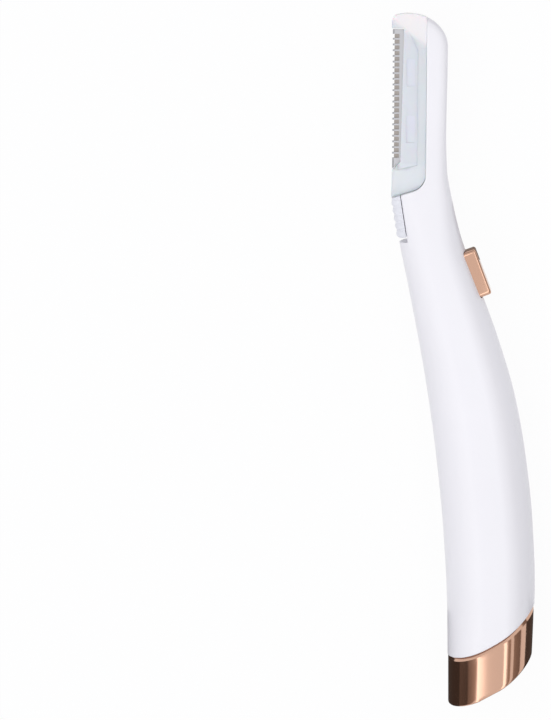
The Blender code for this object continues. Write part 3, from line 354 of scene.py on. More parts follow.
def moulded(name, pale, deep, gloss, grain, relief, **shader):
    """Moulded plastic: two colours in drifts of 25 mm, and a grain in mm with its relief in mm."""
    material = bare(name)
    tree = material.node_tree
    place = add(tree, "ShaderNodeTexCoord").outputs["Object"]
    drift = add(tree, "ShaderNodeTexNoise", inputs={"Vector": place, "Scale": 1000 / 25, "Detail": 2.0})
    tone = add(tree, "ShaderNodeMix", {"data_type": "RGBA"},
               {0: drift.outputs["Fac"], 6: colour(pale), 7: colour(deep)})
    fine = add(tree, "ShaderNodeTexNoise", inputs={
        "Vector": place, "Scale": 1000 / grain, "Detail": 3.0, "Roughness": 0.55})
    coat(tree, tone.outputs[2], fine.outputs["Fac"], (gloss - 0.04, gloss + 0.05), 0.5, relief, **shader)
    return material


# ABS, injection moulded: opaque, cool white, satin, with the faint orange peel of a polished mould
white_abs = moulded("ABS, satin white", "F3F2F6", "F0EFF3", 0.34, 1.6, 0.006, IOR=1.52)


def form_point(y, angle, inset):
    """(x, z) of the section at y, drawn in; angle 0 is the back."""
    centre, flat, power = section(y)
    across = abs(cos(angle)) ** (2 / power)
    up = (half_of(y) - inset) * abs(sin(angle)) ** (2 / power) * (1 if sin(angle) >= 0 else -1)
    if cos(angle) > 0:
        return centre + flat + (back_of(y) - inset - centre - flat) * across, up
    return centre - flat - (centre - flat - front_of(y) - inset) * across, up


def form_ring(y, inset, count):
    """The whole section at y, drawn in all round."""
    points = [form_point(y, 2 * pi * i / count, inset) for i in range(count)]
    return [(x, y, up) for x, up in points]


BUTTON_PLACE = 0.852          # of its middle, as a share of the handle's length
BUTTON_LENGTH = 11.4
BUTTON_WIDTH = 7.0
BUTTON_CORNER = 1.0
BUTTON_GAP = 0.22
button_y = BUTTON_PLACE * HANDLE_LENGTH
button_fall = back_of(button_y - BUTTON_LENGTH / 2) - back_of(button_y + BUTTON_LENGTH / 2)
button_axis = ((back_of(button_y), button_y), atan(button_fall / BUTTON_LENGTH))


def rounded(length, width, radius, steps=8):
    """(along, across) points of a rectangle with round corners."""
    points = []
    for corner, (u, v) in enumerate(((1, 1), (-1, 1), (-1, -1), (1, -1))):
        for step in range(steps + 1):
            angle = (corner + step / steps) * pi / 2
            points.append((u * (length / 2 - radius) + radius * cos(angle),
                           v * (width / 2 - radius) + radius * sin(angle)))
    return points


def stack(name, layers, axis):
    """A solid through rounded rectangles on a tilted axis, each (x, length, width, radius)."""
    rings = []
    for x, length, width, radius in layers:
        rings.append([(*on(axis, x, y), z) for y, z in rounded(length, width, radius)])
    return loft(name, rings)


TAB_DROP = 4.4                # of the tab's middle, below the cartridge
TAB_SEAT = 2.26               # depth of its bed below the front
TAB_TILT = radians(9.0)
TAB_BELOW = 4.9               # its reach from the middle, and upwards
TAB_ABOVE = 4.4
TAB_TRAVEL = 0.9
TAB_ROOM = 0.3                # left below it at the end of its travel
BED_TOP = 8.0                 # the bed's cut ends this far into the pocket
tab_y = HANDLE_LENGTH - TAB_DROP
tab_axis = ((front_of(tab_y) + TAB_SEAT, tab_y), TAB_TILT)

SAMPLES = 44                  # steps across a row of the shell's side
STRAIGHT_FROM = 62.0          # rows follow the foot's slope up to here, and lie level above
CROWN_ROWS = 157.0            # from here they close up towards the crown's apex
row_shares = [0, 0.0007, 0.0018, 0.003, 0.0046] + spread(0.0046, 1.0, 38)[1:]    # close at the seam
row_places = []
row_base = STRAIGHT_FROM
for row_top, count in ((122.2, 46), (128.6, 32), (CROWN_ROWS, 22)):
    row_places += spread(row_base, row_top, count)[1:]
    row_base = row_top
apex = crown_y + (CROWN_HEIGHT - TRIM) * sqrt(
    1 - ((CARTRIDGE_BACK + POCKET_GAP - crown_x) / (CROWN_WIDTH - TRIM)) ** 2)
row_places += [CROWN_ROWS + (apex - CROWN_ROWS) * sin(pi / 2 * i / 30) for i in range(1, 29)]
row_places.append(apex - 0.04)


def shell_row(share, place):
    """One row of the shell's side, from the front or the pocket to the back or the crown."""
    def y_at(x):
        return place if share is None else (1 - share) * (foot_height(x) + SEAM) + share * STRAIGHT_FROM

    left, right = front_of(y_at(0)) + TRIM, back_of(y_at(0)) - TRIM
    if share is None:
        if place > HANDLE_LENGTH - 1:
            left = max(left, pocket_x(place))
        if place > crown_y:
            reach = 1 - ((place - crown_y) / (CROWN_HEIGHT - TRIM)) ** 2
            right = crown_x + (CROWN_WIDTH - TRIM) * sqrt(max(0.0, reach))
    else:
        for _ in range(6):
            left, right = front_of(y_at(left)) + TRIM, back_of(y_at(right)) - TRIM
    right = max(left, right)
    inner = [left + (right - left) * (1 - cos(pi * i / SAMPLES)) / 2 for i in range(1, SAMPLES)]
    places = [left, *inner, right]
    low = PARTING + EDGE_LIFT
    for end, sign in ((0, 1), (SAMPLES, -1)):
        step = right - left
        for _ in range(30):
            step /= 2
            x = places[end] + sign * step
            if height_at(x, y_at(x)) < low:
                break
        places.append(places[end] + sign * step)
    places.sort()
    top = []
    for i, x in enumerate(places):
        y = y_at(x)
        up = height_at(x, y)
        if y > HANDLE_LENGTH - 2:
            up -= round_off(to_pocket(x, y), POCKET_EDGE)
        if share is not None:
            up -= round_off((y - foot_height(x) - SEAM) * FOOT_LEAN, SEAM_EDGE)
        up = max(up, PARTING if i in (0, len(places) - 1) else PARTING + THINNEST)
        draw_in = EDGE_INSET * max(0.0, 1 - (up - PARTING) / EDGE_LIFT)
        if i < 2:
            x += draw_in
        elif i > len(places) - 3:
            x -= draw_in
        top.append((min(max(x, left), right), y, up))
    return top


def fine_shell(name, side):
    """One shell's outer form as a full block, before it is hollowed."""
    rows = [shell_row(share, None) for share in row_shares]
    rows += [shell_row(None, place) for place in row_places]
    count = len(rows[0])
    points = [(x, y, side * up) for row in rows for x, y, up in row]
    under = len(points)
    points += [(min(max(x, row[0][0]), row[-1][0]), y, side * PARTING)
               for row in rows for x, y, _ in row]
    faces = []
    for i in range(len(rows) - 1):
        for j in range(count - 1):
            a, b = i * count + j, (i + 1) * count + j
            faces += [(a, a + 1, b + 1, b), (under + a, under + b, under + b + 1, under + a + 1)]
        for a, b in ((i * count, (i + 1) * count), ((i + 2) * count - 1, (i + 1) * count - 1)):
            faces.append((a, b, under + b, under + a))
    for j in range(count - 1):
        last = (len(rows) - 1) * count
        faces += [(j, under + j, under + j + 1, j + 1),
                  (last + j, last + j + 1, under + last + j + 1, under + last + j)]
    return solid(name, points, faces)


def solid_copy(node):
    """A merged copy of a CAD node, in the tool's millimetres."""
    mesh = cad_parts[node].data.copy()
    mesh.transform(frame_to_tool)
    shape = bmesh.new()
    shape.from_mesh(mesh)
    bmesh.ops.remove_doubles(shape, verts=shape.verts, dist=CAD_SAME_PLACE)
    shape.to_mesh(mesh)
    shape.free()
    return shown(node + "_copy", mesh)


PIN_LENGTH = 2.0
PIN_RADIUS = 0.8
PIN_Y = 70.87                 # of the two pins beyond the tube's end
PIN_INSET = 3.6               # of those two, from the front and from the back
NECK_PIN = (8.8, 3.3)         # the third, below the cartridge and in from the back
neck_pin_y = HANDLE_LENGTH - NECK_PIN[0]
pins = ((front_of(PIN_Y) + PIN_INSET, PIN_Y), (back_of(PIN_Y) - PIN_INSET, PIN_Y),
        (back_of(neck_pin_y) - NECK_PIN[1], neck_pin_y))
for name, node, side in (("shell_left", "housing_left", 1), ("shell_right", "housing_right", -1)):
    shell = fine_shell(name, side)
    inner = loft("inner_form", [form_ring(y, SKIN, 64) for y in spread(-6.0, 170.0, 70)])
    combine(shell, combine(inner, solid_copy(node)))
    hole = (BUTTON_LENGTH + 2 * BUTTON_GAP, BUTTON_WIDTH + 2 * BUTTON_GAP, BUTTON_CORNER + BUTTON_GAP)
    combine(shell, stack("button_hole", [(-6.0, *hole), (6.0, *hole)], button_axis))
    bed = (-TAB_BELOW - TAB_TRAVEL - TAB_ROOM - TRIM, TAB_DROP + BED_TOP)
    combine(shell, block("tab_bed", tab_axis, (-FAR, TRIM), bed, (-FAR, FAR)))
    for x, y in pins if side > 0 else ():
        pin = [(x + PIN_RADIUS * cos(pi * i / 12), y + PIN_RADIUS * sin(pi * i / 12)) for i in range(24)]
        combine(shell, prism("pin", pin, -PIN_LENGTH, PIN_LENGTH), "UNION")
    to_frame(shell, white_abs)
    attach(shell, "handle")
    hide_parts(node)


# Light: a clear-headed diode in its bore under the pocket, and a clear rod that carries its light up
# to the cartridge. Both are cast in epoxy, water-clear and glossy, and pushed in from inside.
def dress(material, *nodes):
    """CAD pieces shown as they are in a material, with their triangles joined as they are drawn."""
    for node in nodes:
        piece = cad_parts[node]
        piece.data.materials.clear()
        piece.data.materials.append(material)
        piece.data.shade_smooth()
        weld = piece.modifiers.new("weld", "WELD")
        weld.merge_threshold = CAD_SAME_PLACE / 1000
        edges = piece.modifiers.new("edges", "EDGE_SPLIT")
        edges.split_angle = radians(SHARP)


# Epoxy, cast: clear with a faint cool tint, polished by its mould
clear_epoxy = moulded("epoxy, cast clear", "E6EEF6", "DDE7F0", 0.08, 0.9, 0.001, IOR=1.55,
                      **{"Transmission Weight": 0.8})
dress(clear_epoxy, "light_pipe", "led")

# PVC, extruded: thin glossy insulation with a slight drag along the wire
red_insulation = moulded("PVC, red", "B01414", "980E10", 0.36, 0.25, 0.004, IOR=1.53)
black_insulation = moulded("PVC, black", "1A1A1C", "121214", 0.38, 0.25, 0.004, IOR=1.53)
dress(red_insulation, "led_lead_positive", "battery_lead_positive")
dress(black_insulation, "led_lead_negative", "battery_lead_negative")


# Power: one round cell in a natural nylon tube, with a nickel contact at its top and a nickel strip
# down its side that brings the current back from the cap. The tube lies in saddles of the shells.
def metal(name, code, gloss, line_mm, relief, stretch=(1.0, 1.0, 1.0)):
    """Bare or plated metal: its colour, its gloss, the size of its surface marks and their stretch."""
    material = bare(name)
    tree = material.node_tree
    place = add(tree, "ShaderNodeTexCoord").outputs["Object"]
    drawn = add(tree, "ShaderNodeMapping", inputs={"Vector": place, "Scale": stretch})
    marks = add(tree, "ShaderNodeTexNoise", inputs={
        "Vector": drawn.outputs[0], "Scale": 1000 / line_mm, "Detail": 2.0})
    coat(tree, colour(code), marks.outputs["Fac"], (gloss * 0.8, gloss * 1.25), 0.6, relief, Metallic=1.0)
    return material


# Nylon, moulded without pigment: milky and waxy, a little light passes into it
natural_nylon = moulded("nylon, natural", "E7E3D6", "DFDACB", 0.48, 0.5, 0.008, IOR=1.53,
                        **{"Subsurface Weight": 0.25, "Subsurface Scale": 0.001})
# PVC sleeve, shrunk on the can: plain dark grey, tight and glossy
cell_sleeve = moulded("PVC sleeve, dark grey", "3B3E42", "34373A", 0.3, 0.8, 0.003, IOR=1.53)
# Nickel strip, rolled: pale warm metal with fine lines along the strip
nickel = metal("nickel strip, rolled", "C9C4BA", 0.28, 0.08, 0.0008, (1.0, 0.08, 1.0))
dress(natural_nylon, "battery_tube")
dress(cell_sleeve, "battery_cell")
dress(nickel, "positive_contact", "negative_strip", "cap_contact")

# Driver: a glass-epoxy board on edge under the button, with a tact switch, a coil and one chip. The
# parts are soldered on flat, and the ribs of the shells hold the board by its long edges.

# Glass epoxy with green solder mask: glossy lacquer over a woven ground, here as a 0.5 mm mottle
board_green = moulded("glass epoxy, green mask", "1F6B3C", "185B31", 0.3, 0.5, 0.006, IOR=1.55)
# Epoxy, transfer moulded: matt black with a fine sparked texture
black_epoxy = moulded("epoxy, moulded black", "232325", "1B1B1D", 0.52, 0.12, 0.006, IOR=1.55)
# Ferrite and switch plunger: sintered and moulded, dark grey and dull
dark_ferrite = moulded("ferrite, sintered", "454548", "3A3A3D", 0.62, 0.2, 0.01, IOR=1.6)
dress(board_green, "main_board")
dress(black_epoxy, "switch_body", "driver_chip")
dress(dark_ferrite, "boost_inductor", "switch_plunger")

# End cap: moulded in ABS and vacuum-plated rose gold, pulled off the foot to change the cell. Its
# underside is cut off on a bowed slope, a bright chamfer runs round its seam, a spigot plugs into
# the shells, and crossed walls inside carry the cell's spring.
CAP_RING = 96                 # points round a ring
CAP_HEIGHT = 12.0
CAP_INSET = 0.17              # of its sides, from the outer form
CAP_FLOOR = 2.4
CAP_EDGE = 0.35               # radius of the lower edge
CAP_CHAMFER = (0.75, 0.5)     # its height and depth
SPIGOT = (17.0, 1.77, 2.95)   # its top, outside and inside
ROOM_TOP = 10.4               # of the wider room below the spigot
FILL_INSET = 7.2              # where the bottom's rings end in one face
battery_axis = ((7.1, 17.0), radians(3.3))    # at the cell's foot, and its lean
WALL_TOP = -5.35              # of the crossed walls, below the cell's foot
WALL_HALF = 0.7               # half of their thickness


def foot_ring(lift, inset, drop=0.0):
    """The section that follows the foot's slope at that lift, less a drop square to the slope."""
    def height(x):
        rise = (x - foot_centre.x) / sqrt(foot_radius ** 2 - (x - foot_centre.x) ** 2)
        return foot_height(x) + lift - drop * sqrt(1 + rise * rise)

    points = []
    for i in range(CAP_RING):
        x = 8.0               # a first guess at its place, which the next lines settle
        for _ in range(12):
            x, up = form_point(height(x), 2 * pi * i / CAP_RING, inset)
        points.append((x, height(x), up))
    return points


quarter = spread(0.0, pi / 2, 5)
# Each ring's lift, inset and drop, from the middle of the underside round to the floor inside
cap_profile = [(0.0, inset) for inset in (FILL_INSET, 5.5, 4.0, 2.6, 1.5, 0.9)]
cap_profile += [(CAP_EDGE * (1 - cos(a)), CAP_INSET + CAP_EDGE * (1 - sin(a))) for a in quarter]
cap_profile += [(lift, CAP_INSET) for lift in spread(CAP_EDGE, CAP_HEIGHT - 1.6, 16)[1:]]
cap_profile += [(CAP_HEIGHT, CAP_INSET, CAP_CHAMFER[0]), (CAP_HEIGHT, CAP_INSET + CAP_CHAMFER[1]),
                (CAP_HEIGHT, 1.2), (CAP_HEIGHT, SPIGOT[1]),
                (SPIGOT[0] - 0.3, SPIGOT[1]), (SPIGOT[0], SPIGOT[1] + 0.2), (SPIGOT[0], SPIGOT[2]),
                (ROOM_TOP, SPIGOT[2]), (ROOM_TOP, SPIGOT[1]), (CAP_FLOOR + 0.5, SPIGOT[1]),
                (CAP_FLOOR + 0.15, SPIGOT[1] + 0.15), (CAP_FLOOR, SPIGOT[1] + 0.5)]
cap_profile += [(CAP_FLOOR, inset) for inset in (4.0, 5.5, FILL_INSET)]
cap = loft("foot_cap", [foot_ring(*place) for place in cap_profile])
for name, reach, depth in (("wall_long", (-6.2, 5.25), WALL_HALF),
                           ("wall_cross", (-WALL_HALF, WALL_HALF), 6.0)):
    first, last = (on(battery_axis, x, WALL_TOP) for x in reach)
    under = [(x, foot_height(x) + CAP_FLOOR / 2) for x in spread(last[0], first[0], 12)]
    combine(cap, prism(name, [first, *reversed(under), last], -depth, depth), "UNION")
# ABS, vacuum-plated: a mirror of warm rose copper, with the long faint waves of the moulding below
rose_gold = metal("ABS, vacuum-plated rose gold", "CEA690", 0.12, 9.0, 0.04, (1.0, 0.35, 1.0))
to_frame(cap, rose_gold, 22)
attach(cap, "cap")
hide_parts("end_cap")

# Battery spring: a cone of stainless wire that stands on the cap's contact and presses on the cell.
# It is coiled cold, so the wire keeps the bright drawn lines along its length.
SPRING_FOOT = -4.53           # below the cell's foot
SPRING_TIP = -0.37


def growth(name, *inputs):
    """A Geometry Nodes tree with these named inputs, each (name, kind), and what they give."""
    tree = bpy.data.node_groups.new(name, "GeometryNodeTree")
    for socket, kind in inputs:
        tree.interface.new_socket(name=socket, in_out="INPUT", socket_type="NodeSocket" + kind)
    tree.interface.new_socket(name="Shape", in_out="OUTPUT", socket_type="NodeSocketGeometry")
    return tree, add(tree, "NodeGroupInput").outputs


def end_growth(tree, made, finish):
    """Ends a tree: what it made as one plain mesh, in its material."""
    whole = add(tree, "GeometryNodeRealizeInstances", inputs={"Geometry": made.outputs[0]})
    coated = add(tree, "GeometryNodeSetMaterial", inputs={"Geometry": whole.outputs[0], "Material": finish})
    add(tree, "NodeGroupOutput", inputs={"Shape": coated.outputs[0]})


coil_tree, sizes = growth("coil", ("Foot radius", "Float"), ("Tip radius", "Float"), ("Rise", "Float"),
                          ("Turns", "Float"), ("Wire radius", "Float"), ("Finish", "Material"))
path = add(coil_tree, "GeometryNodeCurveSpiral", inputs={
    "Resolution": 40, "Rotations": sizes["Turns"], "Start Radius": sizes["Foot radius"],
    "End Radius": sizes["Tip radius"], "Height": sizes["Rise"], "Reverse": True})
wire = add(coil_tree, "GeometryNodeCurvePrimitiveCircle", inputs={
    "Resolution": 12, "Radius": sizes["Wire radius"]})
tube = add(coil_tree, "GeometryNodeCurveToMesh", inputs={
    "Curve": path.outputs[0], "Profile Curve": wire.outputs[0], "Fill Caps": True})
end_growth(coil_tree, tube, sizes["Finish"])


def grown(name, tree, sizes, base=None):
    """The mesh that a tree makes with these named sizes, from a base mesh where it has one."""
    piece = shown(name, base or bpy.data.meshes.new(name))
    change = piece.modifiers.new(tree.name, "NODES")
    change.node_group = tree
    for item in tree.interface.items_tree:
        if item.name in sizes:
            change[item.identifier] = sizes[item.name]
    return settled(piece)


def stand_on(piece, axis, x, y):
    """Turns a piece made along Z to stand on a tilted axis at that point of it."""
    angle = axis[1]
    turn = Matrix(((cos(angle), 0, -sin(angle)), (sin(angle), 0, cos(angle)), (0, -1, 0))).to_4x4()
    piece.data.transform(Matrix.Translation((*on(axis, x, y), 0.0)) @ turn)


# Stainless spring wire, drawn: bright grey with fine lines along the wire
spring_wire = metal("stainless spring wire, drawn", "B9BBBD", 0.22, 0.06, 0.0006)
battery_spring = grown("cell_spring", coil_tree, {
    "Foot radius": 3.0, "Tip radius": 2.0, "Rise": SPRING_TIP - SPRING_FOOT, "Turns": 5.0,
    "Wire radius": 0.22, "Finish": spring_wire})
stand_on(battery_spring, battery_axis, 0.0, SPRING_FOOT)
to_frame(battery_spring, spring_wire, 60)
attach(battery_spring, "cap")
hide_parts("battery_spring")

# Button: moulded in ABS and plated like the cap. It stands proud of the back through its window,
# and a lip inside keeps it in. Its rim is rounded, and its face is very slightly hollow.
BUTTON_PROUD = 2.3
BUTTON_RIM = 0.55                 # radius round its face
BUTTON_LIP = (-3.4, -2.4, 0.8)    # underside, top and reach
BUTTON_HOLLOW = 0.08              # depth in the middle of its face
plan = (BUTTON_LENGTH, BUTTON_WIDTH, BUTTON_CORNER)


def drawn_in(by):
    return plan[0] - 2 * by, plan[1] - 2 * by, max(plan[2] - by, 0.3)


lip = (plan[0] + 2 * BUTTON_LIP[2], plan[1] + 2 * BUTTON_LIP[2], plan[2] + BUTTON_LIP[2] / 2)
layers = [(BUTTON_LIP[0], *lip), (BUTTON_LIP[1], *lip), (BUTTON_LIP[1], *plan)]
layers += [(BUTTON_PROUD - BUTTON_RIM * (1 - sin(a)), *drawn_in(BUTTON_RIM * (1 - cos(a))))
           for a in quarter]
layers += [(BUTTON_PROUD - BUTTON_HOLLOW * depth, *drawn_in(by))
           for by, depth in ((0.9, 0.25), (1.4, 0.6), (2.1, 0.9), (2.9, 1.0))]
button = stack("back_button", layers, button_axis)
to_frame(button, rose_gold)
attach(button, "button")
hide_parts("power_button")

# Cartridge: a frosted clear frame that holds the steel, moulded in one piece and slid into the
# pocket on two pegs. A recessed panel with two small windows runs along the steel on both sides.
CARTRIDGE_HALF = 2.3          # half of its thickness
BLADE_FOOT = HANDLE_LENGTH + 6.3
BLADE_TOP = LENGTH - 3.5
COMB_FRONT = -17.15
COMB_BACK = COMB_FRONT + 3.8
COMB_HALF = 0.52
SLOT_FACE = COMB_FRONT + 2.7  # the plastic begins here, behind the steel that shows
SLOT_ROOM = 0.15              # left round the steel in its slot
FRONT_CORNER = 1.4
PANEL_FACE = 1.7              # half of the thickness left at the panel, then at its windows
WINDOW_FACE = 1.4
PANEL = (COMB_FRONT + 1.4, COMB_FRONT + 6.0)
WINDOW = (COMB_FRONT + 3.3, COMB_FRONT + 5.3)
WINDOW_LENGTH = 6.3
WINDOW_STARTS = (6.5, 19.7)   # above the steel's foot
PEG_PLACES = (14.5, 31.5)     # above the handle
PEG_REACH = 1.8
PEG_HALF = (2.0, 1.2)         # half of its height and of its thickness
FIT = 0.13                    # closed of the pocket's gap below, at the light rod
FIT_TOP = 0.16                # and along the straight wall
CARTRIDGE_ROUND = 0.08        # of its outer edges
outline = [(CARTRIDGE_FRONT, HANDLE_LENGTH - FIT / cos(FLOOR_SLOPE))]
for angle in spread(FLOOR_SLOPE - pi / 2, 0.0, 24):
    outline.append((floor_centre[0] + (FLOOR_CORNER + FIT) * cos(angle),
                    floor_centre[1] + (FLOOR_CORNER + FIT) * sin(angle)))
crown_ends = (CARTRIDGE_BACK + FIT_TOP, CARTRIDGE_FRONT + 1.7 * FRONT_CORNER)
crown_angles = [acos((x - crown_x) / CROWN_WIDTH) for x in crown_ends]
outline += [(crown_x + CROWN_WIDTH * cos(a), LENGTH - TRIM - CROWN_HEIGHT * (1 - sin(a)))
            for a in spread(*crown_angles, 24)]
front_top = outline[-1][1] - FRONT_CORNER / 7
outline += [(CARTRIDGE_FRONT + FRONT_CORNER * (1 + cos(a)), front_top - FRONT_CORNER * (1 - sin(a)))
            for a in spread(pi / 2, pi, 8)]
outline += [(CARTRIDGE_FRONT, BLADE_TOP), (SLOT_FACE, BLADE_TOP), (SLOT_FACE - 0.7, BLADE_FOOT + 2.0),
            (CARTRIDGE_FRONT + 0.2, BLADE_FOOT)]
cartridge = prism("clear_cartridge", outline, -CARTRIDGE_HALF, CARTRIDGE_HALF)
rounding = cartridge.modifiers.new("rounding", "BEVEL")
rounding.width = CARTRIDGE_ROUND
rounding.segments = 2
rounding.limit_method = "ANGLE"
rounding.angle_limit = radians(60)
settled(cartridge)
panel = [(PANEL[0], BLADE_TOP - 0.3), (COMB_FRONT + 3.6, BLADE_TOP - 0.3), (PANEL[1], BLADE_TOP - 5.0),
         (PANEL[1], BLADE_FOOT + 1.15), (PANEL[0], BLADE_FOOT + 0.15)]
upright = ((0.0, 0.0), 0.0)   # the tool's own axes
outside = 5.0                 # beyond both faces of the cartridge
for side in (1, -1):
    combine(cartridge, prism("panel", panel, *sorted((side * PANEL_FACE, side * outside))))
    for start in WINDOW_STARTS:
        base = BLADE_FOOT + start
        combine(cartridge, block("window", upright, WINDOW, (base, base + WINDOW_LENGTH),
                                 sorted((side * WINDOW_FACE, side * outside))))
slot_half = COMB_HALF + SLOT_ROOM
combine(cartridge, block("steel_slot", upright, (CARTRIDGE_FRONT - 1, COMB_BACK + SLOT_ROOM),
                         (BLADE_FOOT, BLADE_TOP - SLOT_ROOM), (-slot_half, slot_half)))
for place in PEG_PLACES:
    y = HANDLE_LENGTH + place
    combine(cartridge, block("peg", upright, (CARTRIDGE_BACK - 0.5, CARTRIDGE_BACK + PEG_REACH),
                             (y - PEG_HALF[0], y + PEG_HALF[0]), (-PEG_HALF[1], PEG_HALF[1])), "UNION")
# Polycarbonate, moulded clear in a frosted mould: cool and milky. The thin panel is painted a cool grey,
# a painted shade of the slot behind it, and its windows a little lighter and bluer. The thick rim and
# the foot end let most light through, and the solid brow above the steel is the milkiest. The brow and
# the foot end are painted nearly white, a painted glow of the light held in the thick plastic.
LOOKS_MIDDLE = 145.4          # height of the middle that the looks are measured from
PANEL_EDGE = (1.95, 1.75)     # half thicknesses between which the panel's painted shade and lower clearness set in
WINDOW_EDGE = (1.6, 1.45)
END_EDGE = (14.8, 16.4)       # heights from the middle between which the ends' painted glow sets in, and the brow's lower clearness
BROW_LEAN = 0.75              # the brow's edge falls by this share of its way back
frosted_clear = moulded("polycarbonate, frosted", "F2F7FC", "EEF3FA", 0.34, 0.35, 0.006, IOR=1.585,
                        **{"Subsurface Weight": 0.25, "Subsurface Scale": 0.001})
tree = frosted_clear.node_tree
surface = next(node for node in tree.nodes if node.type == "BSDF_PRINCIPLED")
tone = surface.inputs["Base Color"].links[0].from_socket
place = add(tree, "ShaderNodeTexCoord").outputs["Object"]
centre = tool_to_frame @ Vector((COMB_BACK, LOOKS_MIDDLE, 0.0))
centred = add(tree, "ShaderNodeMapping", {"vector_type": "POINT"}, {"Vector": place, "Location": -centre})
parts = add(tree, "ShaderNodeSeparateXYZ", inputs={"Vector": centred.outputs[0]})
rise = add(tree, "ShaderNodeMath", {"operation": "ABSOLUTE"}, {0: parts.outputs["Z"]}).outputs[0]
along = parts.outputs["Y"]
brow = add(tree, "ShaderNodeMath", {"operation": "MULTIPLY_ADD"}, {
    0: parts.outputs["X"], 1: BROW_LEAN, 2: along}).outputs[0]


def through(tree, value, edge, start=0.0, end=1.0):
    """From start to end, while a value in metres goes through an edge's two places in mm."""
    return add(tree, "ShaderNodeMapRange", inputs={
        "Value": value, "From Min": edge[0] / 1000, "From Max": edge[1] / 1000,
        "To Min": start, "To Max": end}).outputs["Result"]


# Painted shade and glow: the panel and its windows are painted greyer for the shade of the slot behind
# them, and the brow and the foot end are painted nearly white for the light in the thick plastic.
for value, edge, code in ((rise, PANEL_EDGE, "E0E4EA"), (rise, WINDOW_EDGE, "E5E7F0"),
                          (brow, END_EDGE, "FFFAFB"), (along, (-END_EDGE[0], -END_EDGE[1]), "F5FAFF")):
    tone = add(tree, "ShaderNodeMix", {"data_type": "RGBA"}, {
        0: through(tree, value, edge), 6: tone, 7: colour(code)}).outputs[2]
tree.links.new(tone, surface.inputs["Base Color"])
clear = add(tree, "ShaderNodeMath", {"operation": "MULTIPLY"}, {
    0: through(tree, rise, PANEL_EDGE, 0.5, 0.08), 1: through(tree, brow, END_EDGE, 1.0, 0.25)})
tree.links.new(clear.outputs[0], surface.inputs["Transmission Weight"])
to_frame(cartridge, frosted_clear, 12)
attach(cartridge, "cartridge")
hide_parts("cartridge_frame")

# Blade and comb: a honed steel strip, and a thin sheet folded round its edge and slotted into teeth
# that bridge it and hold the skin off. Both are stamped, polished and pressed into the plastic.
STEEL_FOOT = BLADE_FOOT + 0.15
STEEL_TOP = BLADE_TOP - 0.3
COMB_SHEET = 0.25
COMB_PITCH = 1.336
COMB_TOOTH = 0.4
SLOT_DEPTH = 1.6
FOLD_RUN = 0.06               # from the flat to where the fold's half round begins
COMB_ENDS = 0.6               # plain steel above the teeth
COMB_PLAIN = 2.2              # height of the plain foot below the teeth
CLIP = (2.4, 2.05)            # width and height of the corner cut off the steel's foot


def fold(radius):
    """(x, z) points of the fold's half round, from above to below."""
    arc = [(COMB_FRONT + COMB_HALF + radius * cos(a), radius * sin(a))
           for a in spread(pi / 2, 3 * pi / 2, 12)]
    return [(arc[0][0] + FOLD_RUN, radius), *arc, (arc[0][0] + FOLD_RUN, -radius)]


inside = COMB_HALF - COMB_SHEET
profile = [(COMB_BACK, COMB_HALF), *fold(COMB_HALF), (COMB_BACK, -COMB_HALF),
           (COMB_BACK, -inside), *reversed(fold(inside)), (COMB_BACK, inside)]
comb = loft("steel_comb", [[(x, y, z) for x, z in profile] for y in (STEEL_FOOT, STEEL_TOP)])
teeth_foot = STEEL_FOOT + COMB_PLAIN
comb_run = STEEL_TOP - COMB_ENDS - teeth_foot
slot_count = int((comb_run + COMB_TOOTH) / COMB_PITCH)
first_slot = teeth_foot + (comb_run - slot_count * COMB_PITCH + COMB_TOOTH) / 2
row_tree, sizes = growth("row", ("Piece", "Geometry"), ("Count", "Int"), ("Pitch", "Vector"),
                         ("Finish", "Material"))
line = add(row_tree, "GeometryNodeMeshLine", {"mode": "OFFSET"}, {
    "Count": sizes["Count"], "Offset": sizes["Pitch"]})
placed = add(row_tree, "GeometryNodeInstanceOnPoints", inputs={
    "Points": line.outputs[0], "Instance": sizes["Piece"]})
end_growth(row_tree, placed, sizes["Finish"])
# Stainless strip, ground and polished: cool grey with fine grinding lines across its length
ground_steel = metal("stainless strip, ground", "A9A9AD", 0.3, 0.09, 0.0006, (0.05, 1.0, 1.0))
# Blade steel, hardened and honed: painted a darker, slightly brown grey, as painted shade where it lies
# under the comb
shaded_blade_steel = metal("blade steel, honed, painted shade", "938D89", 0.38, 0.07, 0.0004, (0.05, 1.0, 1.0))
slot = block("slot", upright, (COMB_FRONT - 1, COMB_FRONT + SLOT_DEPTH),
             (first_slot, first_slot + COMB_PITCH - COMB_TOOTH), (-1, 1))
slots = grown("slots", row_tree, {
    "Count": slot_count, "Pitch": (0, COMB_PITCH, 0), "Finish": ground_steel}, slot.data)
bpy.data.objects.remove(slot)
combine(comb, slots)
clip_back = CARTRIDGE_FRONT + CLIP[0]
clip = ((CARTRIDGE_FRONT - 2, STEEL_FOOT - 1), (clip_back, STEEL_FOOT - 1),
        (clip_back, STEEL_FOOT + CLIP[1]), (CARTRIDGE_FRONT, STEEL_FOOT))
combine(comb, prism("clip", clip, -5, 5))
to_frame(comb, ground_steel)
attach(comb, "cartridge")
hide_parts("guard_comb")

# The blade inside: a strip of hardened steel that is ground to a long slope on both sides, and honed
# to a short steeper one at its edge. The cartridge holds it behind the comb's fold.
# Each slope's start: how far behind the fold's front, and half of the thickness there
BLADE_SLOPES = ((0.43, 0.0), (0.68, 0.035), (1.35, 0.12), (3.65, 0.12))
slopes = [(COMB_FRONT + x, half) for x, half in BLADE_SLOPES]
profile = [*slopes, *((x, -half) for x, half in reversed(slopes[1:]))]
blade = loft("honed_blade", [[(x, y, z) for x, z in profile] for y in (STEEL_FOOT, STEEL_TOP)])
combine(blade, prism("clip", clip, -5, 5))
to_frame(blade, shaded_blade_steel, 3)
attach(blade, "cartridge")
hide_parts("blade")

